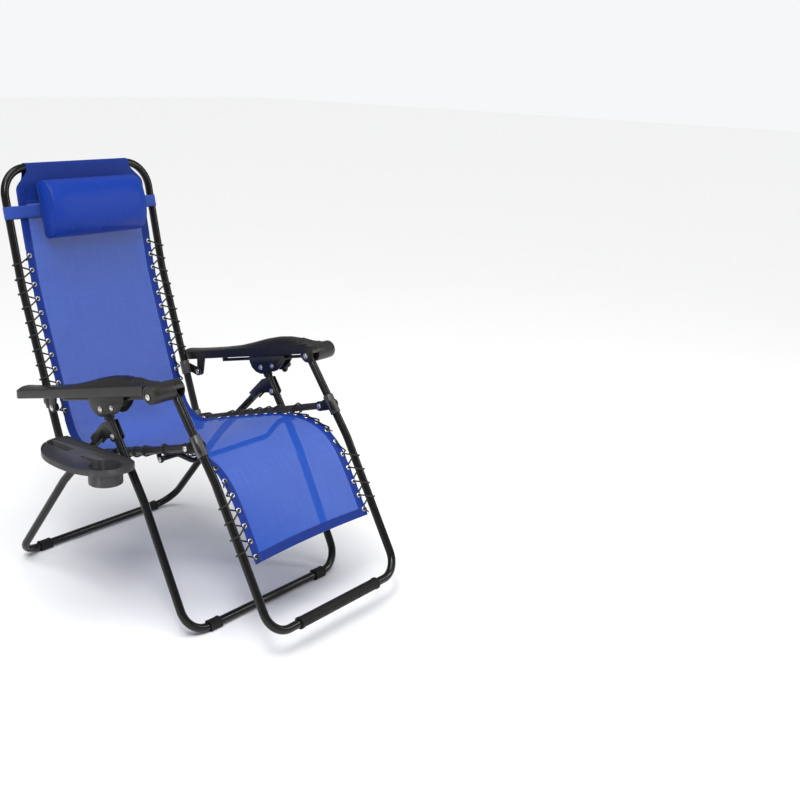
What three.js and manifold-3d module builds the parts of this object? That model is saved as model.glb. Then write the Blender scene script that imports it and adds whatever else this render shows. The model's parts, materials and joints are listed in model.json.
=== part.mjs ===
// Zero gravity recliner, standing open and upright.
// Millimetres, +X forward to the feet, +Y to the sitter's left, +Z up, floor at z = 0.
// The side view is laid out in (x, z) with x = 0 where the front legs meet the floor;
// the whole group is centred over the floor at the end.
import * as THREE from 'three';
import { mergeVertices } from 'three/addons/utils/BufferGeometryUtils.js';
import Module from 'manifold-3d';

const wasm = await Module();
wasm.setup();

// ---------------------------------------------------------------- driving sizes
const TUBE_R = 11;            // frame tubes, 22 mm steel tube
const RAIL_R = 10;            // seat rails
const LEG_Y = 285;            // half spacing of the leg frames, tube centre
const TUBE_Y = 243;           // half spacing of back, footrest and seat rails
const CORNER_R = 65;          // bend radius of the U corners
const FOOT_R = 14;            // foot sleeves, they carry the chair
const GAP = 0.3;              // running gap between neighbouring pieces
const BORE_GAP = 0.75;        // sleeves round a tube, measured at the corners of the tube
const BOLT_R = 4;
const HEAD_R = 8;
const HEAD_T = 3.5;

// side view corners, [x, z]
const LEG_BEND = [-156.5, 332.6];
const LEG_SLOPE = -0.6333;              // dx/dz of the upper front leg
const REAR_BEND = [-490.6, 303.8];
const REAR_FOOT = [-727.6, FOOT_R];
const REAR_UP = [0.713, 0.701];         // direction of the upper rear leg
const BACK_TOP = [-758.0, 1108.3];
const BACK_BEND = [-692.6, 801.6];
const BACK_SLOPE = -0.3264;             // dx/dz of the lower back tube
const FOOTREST_KNEE = [60.5, 431.2];
const FOOTREST_SLOPE = -0.7133;         // dx/dz of the tube above the knee
const FOOTREST_END = [252.4, 85.0];

// pivots of the two side linkages
const SEAT_FRONT = [-32, 499];
const SEAT_REAR = [-500, 358];
const ARM_FRONT_Z = 633;
const LOCK_Z = 552;                     // lock block pivot on top of the front leg
const CROSS_Z = 487.5;                  // leg crossing pivot
const LOCK_FRONT = [-250, 565];         // bolt of the star knob

const ARM_IN = 262;                     // armrest, inner and outer face
const ARM_OUT = 322;
const ROLL_IN = 229;                    // hand roll reaches further in
const ROLL_R = 24;
const SLING_HALF = 214;                 // half width of the sling
const SLING_T = 2.0;
const GROMMET_Y = 205;
const GROMMET_HOLE_R = 3.4;
const BACK_PITCH = 39.4;
const SEAT_PITCH = 40;
const CORD_R = 1.75;
const TRAY_Z = 447;

// ---------------------------------------------------------------- materials
const mats = {
  frame: [0x17181a, 0.32, 0.55],
  plastic: [0x1b1b1d, 0.55, 0.0],
  rubber: [0x121213, 0.8, 0.0],
  bracket: [0x141517, 0.4, 0.5],
  steel: [0xc4c6c8, 0.28, 0.95],
  sling: [0x1b4fc4, 0.75, 0.0],
  cord: [0x0c0c0d, 0.85, 0.0],
  pillow: [0x1546c0, 0.55, 0.0],
  strap: [0x1a49b8, 0.8, 0.0],
  tray: [0x3a3b3e, 0.5, 0.0],
};
const materials = {};
for (const [name, [color, roughness, metalness]] of Object.entries(mats)) {
  materials[name] = new THREE.MeshStandardMaterial({ color, roughness, metalness });
  materials[name].name = name;
}

// ---------------------------------------------------------------- small tools
function toSolid(geometry) {
  let g = geometry.clone();
  g.deleteAttribute('normal');
  g.deleteAttribute('uv');
  g = mergeVertices(g, 1e-4);
  const mesh = new wasm.Mesh({
    numProp: 3,
    vertProperties: new Float32Array(g.attributes.position.array),
    triVerts: new Uint32Array(g.index.array),
  });
  return new wasm.Manifold(mesh);
}

function toGeometry(solid) {
  const mesh = solid.getMesh();
  const g = new THREE.BufferGeometry();
  g.setAttribute('position', new THREE.BufferAttribute(new Float32Array(mesh.vertProperties), 3));
  g.setIndex(new THREE.BufferAttribute(new Uint32Array(mesh.triVerts), 1));
  return g;
}

const joined = (...solids) => solids.reduce((a, b) => a.add(b));
const without = (solid, ...cuts) => cuts.reduce((a, b) => a.subtract(b), solid);

// extrude an (x, z) outline from y0 to y1
function plate(outline, y0, y1, bevel = 0) {
  const shape = new THREE.Shape(outline.map(([x, z]) => new THREE.Vector2(x, z)));
  const g = new THREE.ExtrudeGeometry(shape, {
    depth: y1 - y0 - 2 * bevel,
    bevelEnabled: bevel > 0,
    bevelSize: bevel,
    bevelThickness: bevel,
    bevelOffset: -bevel,
    bevelSegments: 1,
    steps: 1,
  });
  g.rotateX(Math.PI / 2);
  g.translate(0, y1 - bevel, 0);
  return toSolid(g);
}

// extrude an (x, y) outline from z0 to z1
function slab(outline, z0, z1) {
  const shape = new THREE.Shape(outline.map(([x, y]) => new THREE.Vector2(x, y)));
  const g = new THREE.ExtrudeGeometry(shape, { depth: z1 - z0, bevelEnabled: false });
  g.translate(0, 0, z0);
  return toSolid(g);
}

function rodY([x, z], r, y0, y1, sides = 16) {
  const g = new THREE.CylinderGeometry(r, r, y1 - y0, sides);
  g.translate(x, (y0 + y1) / 2, z);
  return toSolid(g);
}

function rodZ(x, y, r, z0, z1, sides = 24) {
  const g = new THREE.CylinderGeometry(r, r, z1 - z0, sides);
  g.rotateX(Math.PI / 2);
  g.translate(x, y, (z0 + z1) / 2);
  return toSolid(g);
}

// rounded corners on a line of 3-D points
function rounded(points, radius, steps) {
  const out = [points[0].clone()];
  for (let i = 1; i < points.length - 1; i += 1) {
    const a = points[i - 1].clone().sub(points[i]).normalize();
    const b = points[i + 1].clone().sub(points[i]).normalize();
    const half = a.angleTo(b) / 2;
    const r = Array.isArray(radius) ? radius[i] : radius;
    const back = r / Math.tan(half);
    const mid = a.clone().add(b).normalize();
    const centre = points[i].clone().addScaledVector(mid, r / Math.sin(half));
    const start = points[i].clone().addScaledVector(a, back).sub(centre);
    const end = points[i].clone().addScaledVector(b, back).sub(centre);
    const turn = start.angleTo(end);
    const axis = start.clone().cross(end).normalize();
    const n = Math.max(1, Math.round(Array.isArray(steps) ? steps[i] : steps));
    for (let k = 0; k <= n; k += 1) {
      out.push(start.clone().applyAxisAngle(axis, (turn * k) / n).add(centre));
    }
  }
  out.push(points[points.length - 1].clone());
  return out;
}

// a round bar along a line of points, closed by flat ends
function bar(points, r, sides = 12) {
  const n = points.length;
  const tangents = points.map((p, i) => {
    const t = new THREE.Vector3();
    if (i > 0) t.add(p.clone().sub(points[i - 1]).normalize());
    if (i < n - 1) t.add(points[i + 1].clone().sub(p).normalize());
    return t.normalize();
  });
  const first = tangents[0];
  const side = Math.abs(first.y) < 0.9 ? new THREE.Vector3(0, 1, 0) : new THREE.Vector3(1, 0, 0);
  let u = side.clone().addScaledVector(first, -side.dot(first)).normalize();
  const pos = [];
  for (let i = 0; i < n; i += 1) {
    const t = tangents[i];
    u = u.clone().addScaledVector(t, -u.dot(t)).normalize();
    const v = t.clone().cross(u);
    for (let k = 0; k < sides; k += 1) {
      const a = (2 * Math.PI * k) / sides;
      const p = points[i].clone();
      p.addScaledVector(u, r * Math.cos(a));
      p.addScaledVector(v, r * Math.sin(a));
      pos.push(p.x, p.y, p.z);
    }
  }
  const idx = [];
  for (let i = 0; i < n - 1; i += 1) {
    for (let k = 0; k < sides; k += 1) {
      const a = i * sides + k;
      const b = i * sides + ((k + 1) % sides);
      idx.push(a, b, b + sides, a, b + sides, a + sides);
    }
  }
  for (let k = 1; k < sides - 1; k += 1) {
    idx.push(0, k + 1, k);
    const e = (n - 1) * sides;
    idx.push(e, e + k, e + k + 1);
  }
  const g = new THREE.BufferGeometry();
  g.setAttribute('position', new THREE.BufferAttribute(new Float32Array(pos), 3));
  g.setIndex(idx);
  return toSolid(g);
}

const V = (x, y, z) => new THREE.Vector3(x, y, z);
const onLine = ([x, z], slope, atZ) => [x + slope * (atZ - z), atZ];
const lerp2 = (a, b, t) => [a[0] + (b[0] - a[0]) * t, a[1] + (b[1] - a[1]) * t];
const dist2 = (a, b) => Math.hypot(a[0] - b[0], a[1] - b[1]);
const add2 = (a, b, k = 1) => [a[0] + b[0] * k, a[1] + b[1] * k];

function unit(a, b) {
  const d = dist2(a, b);
  return [(b[0] - a[0]) / d, (b[1] - a[1]) / d];
}

// outline of a stadium or a taper between two circles
function lug(a, ra, b, rb, steps = 5) {
  const d = unit(a, b);
  const base = Math.atan2(d[1], d[0]);
  const out = [];
  for (let k = 0; k <= steps; k += 1) {
    const t = base - Math.PI / 2 + (Math.PI * k) / steps;
    out.push([b[0] + rb * Math.cos(t), b[1] + rb * Math.sin(t)]);
  }
  for (let k = 0; k <= steps; k += 1) {
    const t = base + Math.PI / 2 + (Math.PI * k) / steps;
    out.push([a[0] + ra * Math.cos(t), a[1] + ra * Math.sin(t)]);
  }
  return out;
}

// bolt along y with a head at both ends, across a grip from y0 to y1
function bolt(at, y0, y1, r = BOLT_R, head = HEAD_R) {
  const shank = rodY(at, r, y0 - GAP - 1, y1 + GAP + 1, 8);
  const inner = rodY(at, head, y0 - GAP - HEAD_T, y0 - GAP, 10);
  const outer = rodY(at, head, y1 + GAP, y1 + GAP + HEAD_T, 10);
  return joined(shank, inner, outer);
}

const hole = (at, y0 = 200, y1 = 345) => rodY(at, BOLT_R + 0.5, y0, y1, 8);

const group = new THREE.Group();
group.name = 'zero_gravity_recliner';

function add(name, solid, material) {
  const mesh = new THREE.Mesh(toGeometry(solid), materials[material]);
  mesh.name = name;
  group.add(mesh);
}

const mirrored = (solid) => solid.scale([1, -1, 1]);

// everything is drawn on the sitter's left and mirrored to the right
function addPair(name, solid, material) {
  add(`${name}_left`, solid, material);
  add(`${name}_right`, mirrored(solid), material);
}

// ---------------------------------------------------------------- shared points
const armFront = onLine(FOOTREST_KNEE, FOOTREST_SLOPE, ARM_FRONT_Z);
const link = [SEAT_FRONT[0] - armFront[0], SEAT_FRONT[1] - armFront[1]];
const armRear = [SEAT_REAR[0] - link[0], SEAT_REAR[1] - link[1]];
const lockPivot = onLine(LEG_BEND, LEG_SLOPE, LOCK_Z);
const crossPivot = onLine(LEG_BEND, LEG_SLOPE, CROSS_Z);
const railDir = unit(SEAT_REAR, SEAT_FRONT);
const railUp = [-railDir[1], railDir[0]];
const backAt = (z) => onLine(BACK_BEND, BACK_SLOPE, z);
const backDir = unit(backAt(400), backAt(500));
const kneeUp = unit(FOOTREST_KNEE, armFront);
const legUp = unit(LEG_BEND, lockPivot);

// ---------------------------------------------------------------- U frames
function uFrame(side, halfWidth, endRadius, bendRadius) {
  const right = side.map(([x, z]) => V(x, -halfWidth, z));
  const left = side.map(([x, z]) => V(x, halfWidth, z)).reverse();
  const pts = [...right, ...left];
  const n = side.length;
  const radii = pts.map((_, i) => (i === n - 1 || i === n ? endRadius : bendRadius));
  const steps = pts.map((_, i) => (i === n - 1 || i === n ? 6 : 2));
  return bar(rounded(pts, radii, steps), TUBE_R);
}

const legTop = add2(lockPivot, legUp, 10);
const bothSides = (cutter) => joined(cutter, mirrored(cutter));
const frontLeg = without(
  uFrame([legTop, LEG_BEND, [0, FOOT_R]], LEG_Y, CORNER_R, 180),
  bothSides(hole(lockPivot)),
  bothSides(hole(crossPivot)),
);
add('front_leg_frame', frontLeg, 'frame');

const rearTop = add2(REAR_BEND, REAR_UP, 288);
add('rear_leg_frame', uFrame([rearTop, REAR_BEND, REAR_FOOT], LEG_Y, CORNER_R, 180), 'frame');

const backBottom = backAt(312);
add('back_frame', uFrame([backBottom, BACK_BEND, BACK_TOP], TUBE_Y, 75, 220), 'frame');

const footrestTop = add2(armFront, kneeUp, 12);
const footrest = without(
  uFrame([footrestTop, FOOTREST_KNEE, FOOTREST_END], TUBE_Y, 60, 150),
  bothSides(hole(armFront)),
);
add('footrest_frame', footrest, 'frame');

// ---------------------------------------------------------------- feet and sleeve
const footSleeve = (at) => without(
  rodY(at, FOOT_R, 180, 219, 16),
  rodY(at, TUBE_R + BORE_GAP, 170, 230, 12),
);
addPair('front_foot', footSleeve([0, FOOT_R]), 'rubber');
addPair('rear_foot', footSleeve(REAR_FOOT), 'rubber');
add('footrest_sleeve', without(
  rodY(FOOTREST_END, 15.5, -150, 150, 16),
  rodY(FOOTREST_END, TUBE_R + BORE_GAP, -160, 160, 12),
), 'rubber');

// ---------------------------------------------------------------- seat rails and brace
const railStart = add2(SEAT_REAR, railDir, -11);
const railEnd = add2(SEAT_FRONT, railDir, 11);
const bracePoint = add2(add2(SEAT_FRONT, railDir, -121), railUp, -24);
const braceLug = plate(lug(bracePoint, 9, add2(bracePoint, railUp, 22), 9), TUBE_Y - 1.5, TUBE_Y + 1.5);
const rail = without(
  joined(bar([V(railStart[0], TUBE_Y, railStart[1]), V(railEnd[0], TUBE_Y, railEnd[1])], RAIL_R), braceLug),
  hole(SEAT_REAR),
  hole(SEAT_FRONT),
  hole(bracePoint),
);
addPair('seat_rail', rail, 'frame');

const BRACE_R = 7;
const BRACE_DROP = 32;
const bz = bracePoint[1];
const bx = bracePoint[0];
const braceEnd = TUBE_Y - 1.5 - GAP - 3;
const braceLine = rounded([
  V(bx, -braceEnd - 1, bz),
  V(bx, -185, bz),
  V(bx, -135, bz - BRACE_DROP),
  V(bx, 135, bz - BRACE_DROP),
  V(bx, 185, bz),
  V(bx, braceEnd + 1, bz),
], 35, 2);
const braceEye = rodY(bracePoint, 10, braceEnd, braceEnd + 3, 12);
add('seat_cross_brace', without(
  joined(bar(braceLine, BRACE_R, 10), bothSides(braceEye)),
  bothSides(rodY(bracePoint, BOLT_R + 0.5, braceEnd - 14, 260, 8)),
), 'frame');
const braceBolt = joined(
  rodY(bracePoint, BOLT_R, braceEnd - 12, TUBE_Y + 1.5 + GAP + 1, 8),
  rodY(bracePoint, 7, TUBE_Y + 1.5 + GAP, TUBE_Y + 1.5 + GAP + 3, 10),
);
addPair('brace_bolt', braceBolt, 'steel');

// ---------------------------------------------------------------- hinge brackets
const CHEEK_IN = RAIL_R + 0.4;
const CHEEK_T = 2.5;
const SLEEVE_R = 14.5;
const SLEEVE_HALF = 27;

function vec([x, z], y = TUBE_Y) {
  return [x, y, z];
}

function tubeCut(centre, dir, half = 60) {
  const a = add2(centre, dir, -half);
  const b = add2(centre, dir, half);
  return bar([V(...vec(a)), V(...vec(b))], TUBE_R + BORE_GAP, 12);
}

function sleeveBody(centre, dir, half = SLEEVE_HALF) {
  const a = add2(centre, dir, -half);
  const b = add2(centre, dir, half);
  return bar([V(...vec(a)), V(...vec(b))], SLEEVE_R, 12);
}

// a sleeve on the tube with two cheeks that hold the seat rail
function hingeBracket(centre, dir, pivot) {
  const cheek = [
    ...lug(add2(centre, dir, 0), 13, pivot, 14),
  ];
  const yIn = TUBE_Y - CHEEK_IN - CHEEK_T;
  const yOut = TUBE_Y + CHEEK_IN + CHEEK_T;
  const inner = plate(cheek, yIn, yIn + CHEEK_T);
  const outer = plate(cheek, yOut - CHEEK_T, yOut);
  return without(
    joined(sleeveBody(centre, dir), inner, outer),
    tubeCut(centre, dir),
    hole(pivot),
  );
}

// foot of the perpendicular-ish crossing of a tube with the rail line
const kneeCross = [4.15, 510.2];
const backCross = [-543.6, 345.1];
addPair('front_hinge_bracket', hingeBracket(kneeCross, kneeUp, SEAT_FRONT), 'bracket');
addPair('rear_hinge_bracket', hingeBracket(backCross, backDir, SEAT_REAR), 'bracket');
const pinIn = TUBE_Y - CHEEK_IN - CHEEK_T;
const pinOut = TUBE_Y + CHEEK_IN + CHEEK_T;
addPair('seat_front_bolt', bolt(SEAT_FRONT, pinIn, pinOut), 'steel');
addPair('seat_rear_bolt', bolt(SEAT_REAR, pinIn, pinOut), 'steel');

// ---------------------------------------------------------------- armrest rear bracket
const armBackZ = armRear[1] + 8;
const armBackAt = backAt(armBackZ);
const armTabIn = TUBE_Y + CHEEK_IN;
const armTabOut = armTabIn + 3;
const armTab = plate(lug(armBackAt, 12, armRear, 13), armTabIn, armTabOut);
addPair('armrest_rear_bracket', without(
  joined(sleeveBody(armBackAt, backDir, 20), armTab),
  tubeCut(armBackAt, backDir),
  hole(armRear),
), 'bracket');

// ---------------------------------------------------------------- armrests
// underside and top of the armrest in the side view, rear to front
const ARM_SLOPE = 0.2235;
const armUnder = (x) => 518 + (x + 604) * ARM_SLOPE;
const rollAt = add2(armFront, [4, 6]);
const armOutline = [
  [-638, armUnder(-638)],
  [-108, armUnder(-108)],
  [-86, 640],
  [-90, 662],
  [-122, 658],
  [-160, 660],
  [-200, 658],
  [-243, 650],
  [-290, 636],
  [-340, 617],
  [-400, 596],
  [-469, 578],
  [-540, 563],
  [-600, 551],
  [-632, 543],
  [-642, 530],
];
// room for the footrest tube to swing under the hand roll
const SWING_UP = 38;
const SWING_DOWN = 66;
function rollPocket() {
  const tubeDeg = (Math.atan2(-kneeUp[1], -kneeUp[0]) * 180) / Math.PI;
  const wide = TUBE_R + 1.8;
  const out = [rodY(armFront, 17.4, TUBE_Y - 12.4, TUBE_Y + 12.4, 16)];
  const n = 8;
  for (let k = 0; k <= n; k += 1) {
    const t = ((tubeDeg - SWING_DOWN + ((SWING_UP + SWING_DOWN) * k) / n) * Math.PI) / 180;
    const d = [Math.cos(t), Math.sin(t)];
    const c = [-d[1], d[0]];
    const far = add2(armFront, d, 70);
    out.push(plate([
      add2(armFront, c, -wide), add2(far, c, -wide), add2(far, c, wide), add2(armFront, c, wide),
    ], TUBE_Y - 12.4, TUBE_Y + 12.4));
  }
  return joined(...out);
}
const rearLugIn = ARM_IN;
const rearLug = plate(lug(armRear, 13, [armRear[0] + 4, armUnder(armRear[0]) + 12], 16), rearLugIn, rearLugIn + 6);
function gripRidges() {
  const out = [];
  for (let k = 0; k < 3; k += 1) {
    const y = ARM_IN + 14 + k * 10;
    out.push(without(rodY(rollAt, ROLL_R + 2, y, y + 1.6, 20), rodY(rollAt, ROLL_R - 0.9, y - 1, y + 3, 20)));
  }
  return joined(...out);
}
const armBody = without(
  joined(
    plate(armOutline, ARM_IN, ARM_OUT, 5),
    rodY(rollAt, ROLL_R, ROLL_IN, ARM_OUT, 20),
    rearLug,
  ),
  gripRidges(),
  rollPocket(),
  hole(armFront, 220, 340),
  hole(armRear, 255, 275),
);

// guide bar under the armrest that the lock block slides along
const guideDir = [Math.cos(Math.atan(ARM_SLOPE)), Math.sin(Math.atan(ARM_SLOPE))];
const guideUp = [-guideDir[1], guideDir[0]];
const guideAt = (x, down) => add2([x, armUnder(x)], guideUp, -down);
function alongGuide(x0, x1, lo, hi) {
  return [guideAt(x0, lo), guideAt(x1, lo), guideAt(x1, hi), guideAt(x0, hi)];
}
addPair('armrest', armBody, 'plastic');
const GUIDE_IN = LEG_Y - 6;
const GUIDE_OUT = LEG_Y + 6;
addPair('armrest_guide', joined(
  plate(alongGuide(-470, -128, 13, 5), GUIDE_IN, GUIDE_OUT),
  plate(alongGuide(-470, -458, 6, GAP), GUIDE_IN, GUIDE_OUT),
  plate(alongGuide(-140, -128, 6, GAP), GUIDE_IN, GUIDE_OUT),
), 'bracket');
addPair('armrest_rear_bolt', bolt(armRear, armTabIn, rearLugIn + 6), 'steel');
addPair('armrest_front_bolt', joined(
  rodY(armFront, BOLT_R, ROLL_IN - GAP - 1, ARM_OUT + GAP + 1, 8),
  rodY(armFront, HEAD_R, ROLL_IN - GAP - HEAD_T, ROLL_IN - GAP, 10),
  rodY(armFront, HEAD_R, ARM_OUT + GAP, ARM_OUT + GAP + HEAD_T, 10),
), 'steel');

// ---------------------------------------------------------------- lock block, leg top
const LOCK_IN = LEG_Y - 17;
const LOCK_OUT = LEG_Y + 17;
const LOCK_T = 2.6;
const lockOutline = [
  guideAt(-345, 1.2),
  guideAt(-345, 16),
  [-332, 545],
  [-316, 535],
  [-296, 532],
  [-276, 537],
  [-262, 547],
  [-244, 549],
  [-229, 556],
  [-212, 574],
  guideAt(-205, 16),
  guideAt(-205, 1.2),
];
const lockSolid = plate(lockOutline, LOCK_IN, LOCK_OUT);
const lockInside = plate([
  guideAt(-360, 16.5),
  [-360, 480],
  [-190, 480],
  guideAt(-190, 16.5),
], LOCK_IN + LOCK_T, LOCK_OUT - LOCK_T);
addPair('lock_block', without(
  lockSolid,
  lockInside,
  plate(alongGuide(-360, -190, 13.4, 4.6), GUIDE_IN - 0.4, GUIDE_OUT + 0.4),
  hole(lockPivot, 250, 320),
  hole(LOCK_FRONT, 250, 320),
), 'bracket');
addPair('lock_pivot_bolt', bolt(lockPivot, LOCK_IN, LOCK_OUT), 'steel');

const socketLow = add2(lockPivot, legUp, -29);
const socketTop = add2(lockPivot, legUp, 10);
const socketBar = bar([V(socketLow[0], LEG_Y, socketLow[1]), V(socketTop[0], LEG_Y, socketTop[1])], 13.4, 12);
const legCut = bar([
  V(...vec(add2(socketLow, legUp, -20), LEG_Y)),
  V(...vec(add2(socketTop, legUp, 20), LEG_Y)),
], TUBE_R + BORE_GAP, 12);
addPair('leg_top_sleeve', without(socketBar, legCut, hole(lockPivot)), 'plastic');

addPair('lock_front_bolt', bolt(LOCK_FRONT, LOCK_IN, LOCK_OUT, BOLT_R, 7), 'steel');

// star knob, on the sitter's left only
const knobY = LOCK_OUT + GAP + HEAD_T + GAP;
function star(at, rIn, rOut, lobes) {
  const out = [];
  for (let k = 0; k < lobes * 6; k += 1) {
    const t = (2 * Math.PI * k) / (lobes * 6);
    const r = (rIn + rOut) / 2 + ((rOut - rIn) / 2) * Math.cos(lobes * t);
    out.push([at[0] + r * Math.cos(t), at[1] + r * Math.sin(t)]);
  }
  return out;
}
add('lock_knob', joined(
  plate(star(LOCK_FRONT, 20, 27, 5), knobY + 4, knobY + 16, 2),
  rodY(LOCK_FRONT, 12, knobY, knobY + 5, 20),
), 'plastic');

// ---------------------------------------------------------------- leg crossing forks
const FORK_IN = LEG_Y - 13.9;
const FORK_OUT = LEG_Y + 13.9;
const rearNormal = [-REAR_UP[1], REAR_UP[0]];      // away from the crossing pivot
const rearAxis = (s, n) => add2(add2(REAR_BEND, REAR_UP, s), rearNormal, n);
const forkOutline = [
  rearAxis(214, -12),
  rearAxis(252, -12),
  ...[-170, -140, -110, -80, -50, -20].map((deg) => {
    const t = ((deg + 20) * Math.PI) / 180;
    return add2(crossPivot, [14 * Math.cos(t), 14 * Math.sin(t)]);
  }),
  rearAxis(316, 2),
  rearAxis(288, 14.2),
  rearAxis(214, 14.2),
];
const forkWeb = plate([
  rearAxis(214, 11.4), rearAxis(288, 11.4), rearAxis(288, 14.2), rearAxis(214, 14.2),
], FORK_IN, FORK_OUT);
addPair('leg_fork', without(
  joined(
    plate(forkOutline, FORK_IN, FORK_IN + 2.4),
    plate(forkOutline, FORK_OUT - 2.4, FORK_OUT),
    forkWeb,
  ),
  hole(crossPivot),
), 'bracket');
addPair('leg_cross_bolt', bolt(crossPivot, FORK_IN, FORK_OUT), 'steel');

// ---------------------------------------------------------------- sling
const backNormal = [0.978, 0.2086];
const slingControl = [
  add2(BACK_TOP, backNormal, TUBE_R + 1.7),
  [-735, 1050],
  [-721, 960],
  [-706, 880],
  [-690, 800],
  backAt(720),
  backAt(600),
  backAt(500),
  backAt(446),
  [-554, 400],
  [-518, 373],
  [-470, 369],
  [-407, 387],
  [-326, 411],
  [-245, 434],
  [-164, 455],
  [-100, 466],
  [-50, 467],
  [-5, 458],
  [30, 441],
  [56, 419],
  [78, 393],
  [120, 324],
  [159, 253],
  [184, 208],
];
const curve = new THREE.CatmullRomCurve3(slingControl.map(([x, z]) => V(x, 0, z)), false, 'centripetal');
const FINE = 1200;
const fine = curve.getSpacedPoints(FINE).map((p) => [p.x, p.z]);
const slingLength = curve.getLength();
const fineAt = (s) => {
  const f = Math.min(Math.max((s / slingLength) * FINE, 0), FINE - 1e-6);
  const i = Math.floor(f);
  return lerp2(fine[i], fine[i + 1], f - i);
};
const tangentAt = (s) => unit(fineAt(s - 4), fineAt(s + 4));
const normalAt = (s) => {
  const t = tangentAt(s);
  return [-t[1], t[0]];
};
function arcWhere(test) {
  for (let i = 0; i <= FINE; i += 1) {
    if (test(fine[i])) return (i / FINE) * slingLength;
  }
  return slingLength;
}

// rows of eyelets: twelve a side on the back, eighteen a side on seat and leg
const firstBack = arcWhere((p) => p[1] < 879);
const backEyelets = Array.from({ length: 12 }, (_, i) => firstBack + BACK_PITCH * i);
const firstSeat = arcWhere((p) => p[0] > -407);
const seatEyelets = Array.from({ length: 18 }, (_, i) => firstSeat + SEAT_PITCH * i);
const splitBack = backEyelets[11] + 13;
const legFirst = seatEyelets.findIndex((s) => {
  const p = fineAt(s - SEAT_PITCH / 2);
  return p[0] > SEAT_FRONT[0] + 30 && dist2(p, SEAT_FRONT) > 84;
});
const splitLeg = seatEyelets[legFirst] - SEAT_PITCH / 2;
const slingEnd = Math.min(seatEyelets[17] + 17, slingLength);

function strip(s0, s1, y0, y1, thickness, step = 45) {
  const n = Math.max(2, Math.ceil((s1 - s0) / step));
  const over = [];
  const under = [];
  for (let i = 0; i <= n; i += 1) {
    const s = s0 + ((s1 - s0) * i) / n;
    over.push(add2(fineAt(s), normalAt(s), thickness / 2));
    under.push(add2(fineAt(s), normalAt(s), -thickness / 2));
  }
  return plate([...under, ...over.reverse()], y0, y1);
}

function eyeletHoles(list) {
  const out = [];
  for (const s of list) {
    const at = fineAt(s);
    const n = normalAt(s);
    for (const y of [GROMMET_Y, -GROMMET_Y]) {
      const a = V(at[0] + n[0] * 4, y, at[1] + n[1] * 4);
      const b = V(at[0] - n[0] * 4, y, at[1] - n[1] * 4);
      out.push(bar([a, b], GROMMET_HOLE_R, 6));
    }
  }
  return out;
}

const pocketTop = 46;
const barRing = without(
  rodY(BACK_TOP, TUBE_R + 2.9, -165, 165, 16),
  rodY(BACK_TOP, TUBE_R + 0.5, -170, 170, 16),
);
const backTail = plate([
  add2(BACK_TOP, backNormal, -TUBE_R - 2.7),
  add2(BACK_TOP, backNormal, -TUBE_R - 0.7),
  add2(fineAt(92), normalAt(92), -0.5),
  add2(fineAt(96), normalAt(96), -2.6),
], -165, 165);
const slingBack = without(
  joined(
    barRing,
    backTail,
    strip(6, pocketTop + 24, -165, 165, SLING_T, 16),
    strip(pocketTop + 20, splitBack - 0.7, -SLING_HALF, SLING_HALF, SLING_T),
  ),
  ...eyeletHoles(backEyelets),
);
add('sling_back', slingBack, 'sling');
const onSeat = seatEyelets.filter((s) => s < splitLeg);
const onLeg = seatEyelets.filter((s) => s > splitLeg);
add('sling_seat', without(
  strip(splitBack + 0.7, splitLeg - 0.7, -SLING_HALF, SLING_HALF, SLING_T, 30),
  ...eyeletHoles(onSeat),
), 'sling');
add('sling_leg', without(
  strip(splitLeg + 0.7, slingEnd, -SLING_HALF, SLING_HALF, SLING_T),
  ...eyeletHoles(onLeg),
), 'sling');

// ---------------------------------------------------------------- lacing
// The cord comes up through an eyelet, goes over the tube, around its outside,
// back underneath and up through the next eyelet.
function nearestOn(axisPoint, axisDir, p) {
  const d = (p[0] - axisPoint[0]) * axisDir[0] + (p[1] - axisPoint[1]) * axisDir[1];
  return add2(axisPoint, axisDir, d);
}

function lacing(list, tubeR, axisOf, wraps) {
  const ring = tubeR + CORD_R + GAP + 2.2;
  const pts = [];
  const up = 4.6;
  list.forEach((s, i) => {
    const at = fineAt(s);
    const n = normalAt(s);
    const low = add2(at, n, -up);
    const high = add2(at, n, up);
    pts.push(V(low[0], GROMMET_Y, low[1]));
    pts.push(V(high[0], GROMMET_Y, high[1]));
    if (i === list.length - 1) return;
    const next = list[i + 1];
    if (!wraps(s, next)) {
      const mid = fineAt((s + next) / 2);
      const m = add2(mid, normalAt((s + next) / 2), up);
      pts.push(V(m[0], GROMMET_Y + 2, m[1]));
      const past = add2(fineAt(next - 9), normalAt(next - 9), up);
      pts.push(V(past[0], SLING_HALF + 4, past[1]));
      const beneath = add2(fineAt(next - 5), normalAt(next - 5), -up);
      pts.push(V(beneath[0], SLING_HALF + 4, beneath[1]));
      return;
    }
    const { point, dir } = axisOf((s + next) / 2);
    const nrm = [-dir[1], dir[0]];
    const step = dist2(at, fineAt(next));
    const base = nearestOn(point, dir, at);
    [100, 50, 0, -50, -100].forEach((deg, k) => {
      const t = (deg * Math.PI) / 180;
      const c = add2(base, dir, (step * (k + 1)) / 6);
      const p = add2(c, nrm, ring * Math.sin(t));
      pts.push(V(p[0], TUBE_Y + ring * Math.cos(t), p[1]));
    });
  });
  return bar(pts, CORD_R, 6);
}

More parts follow.
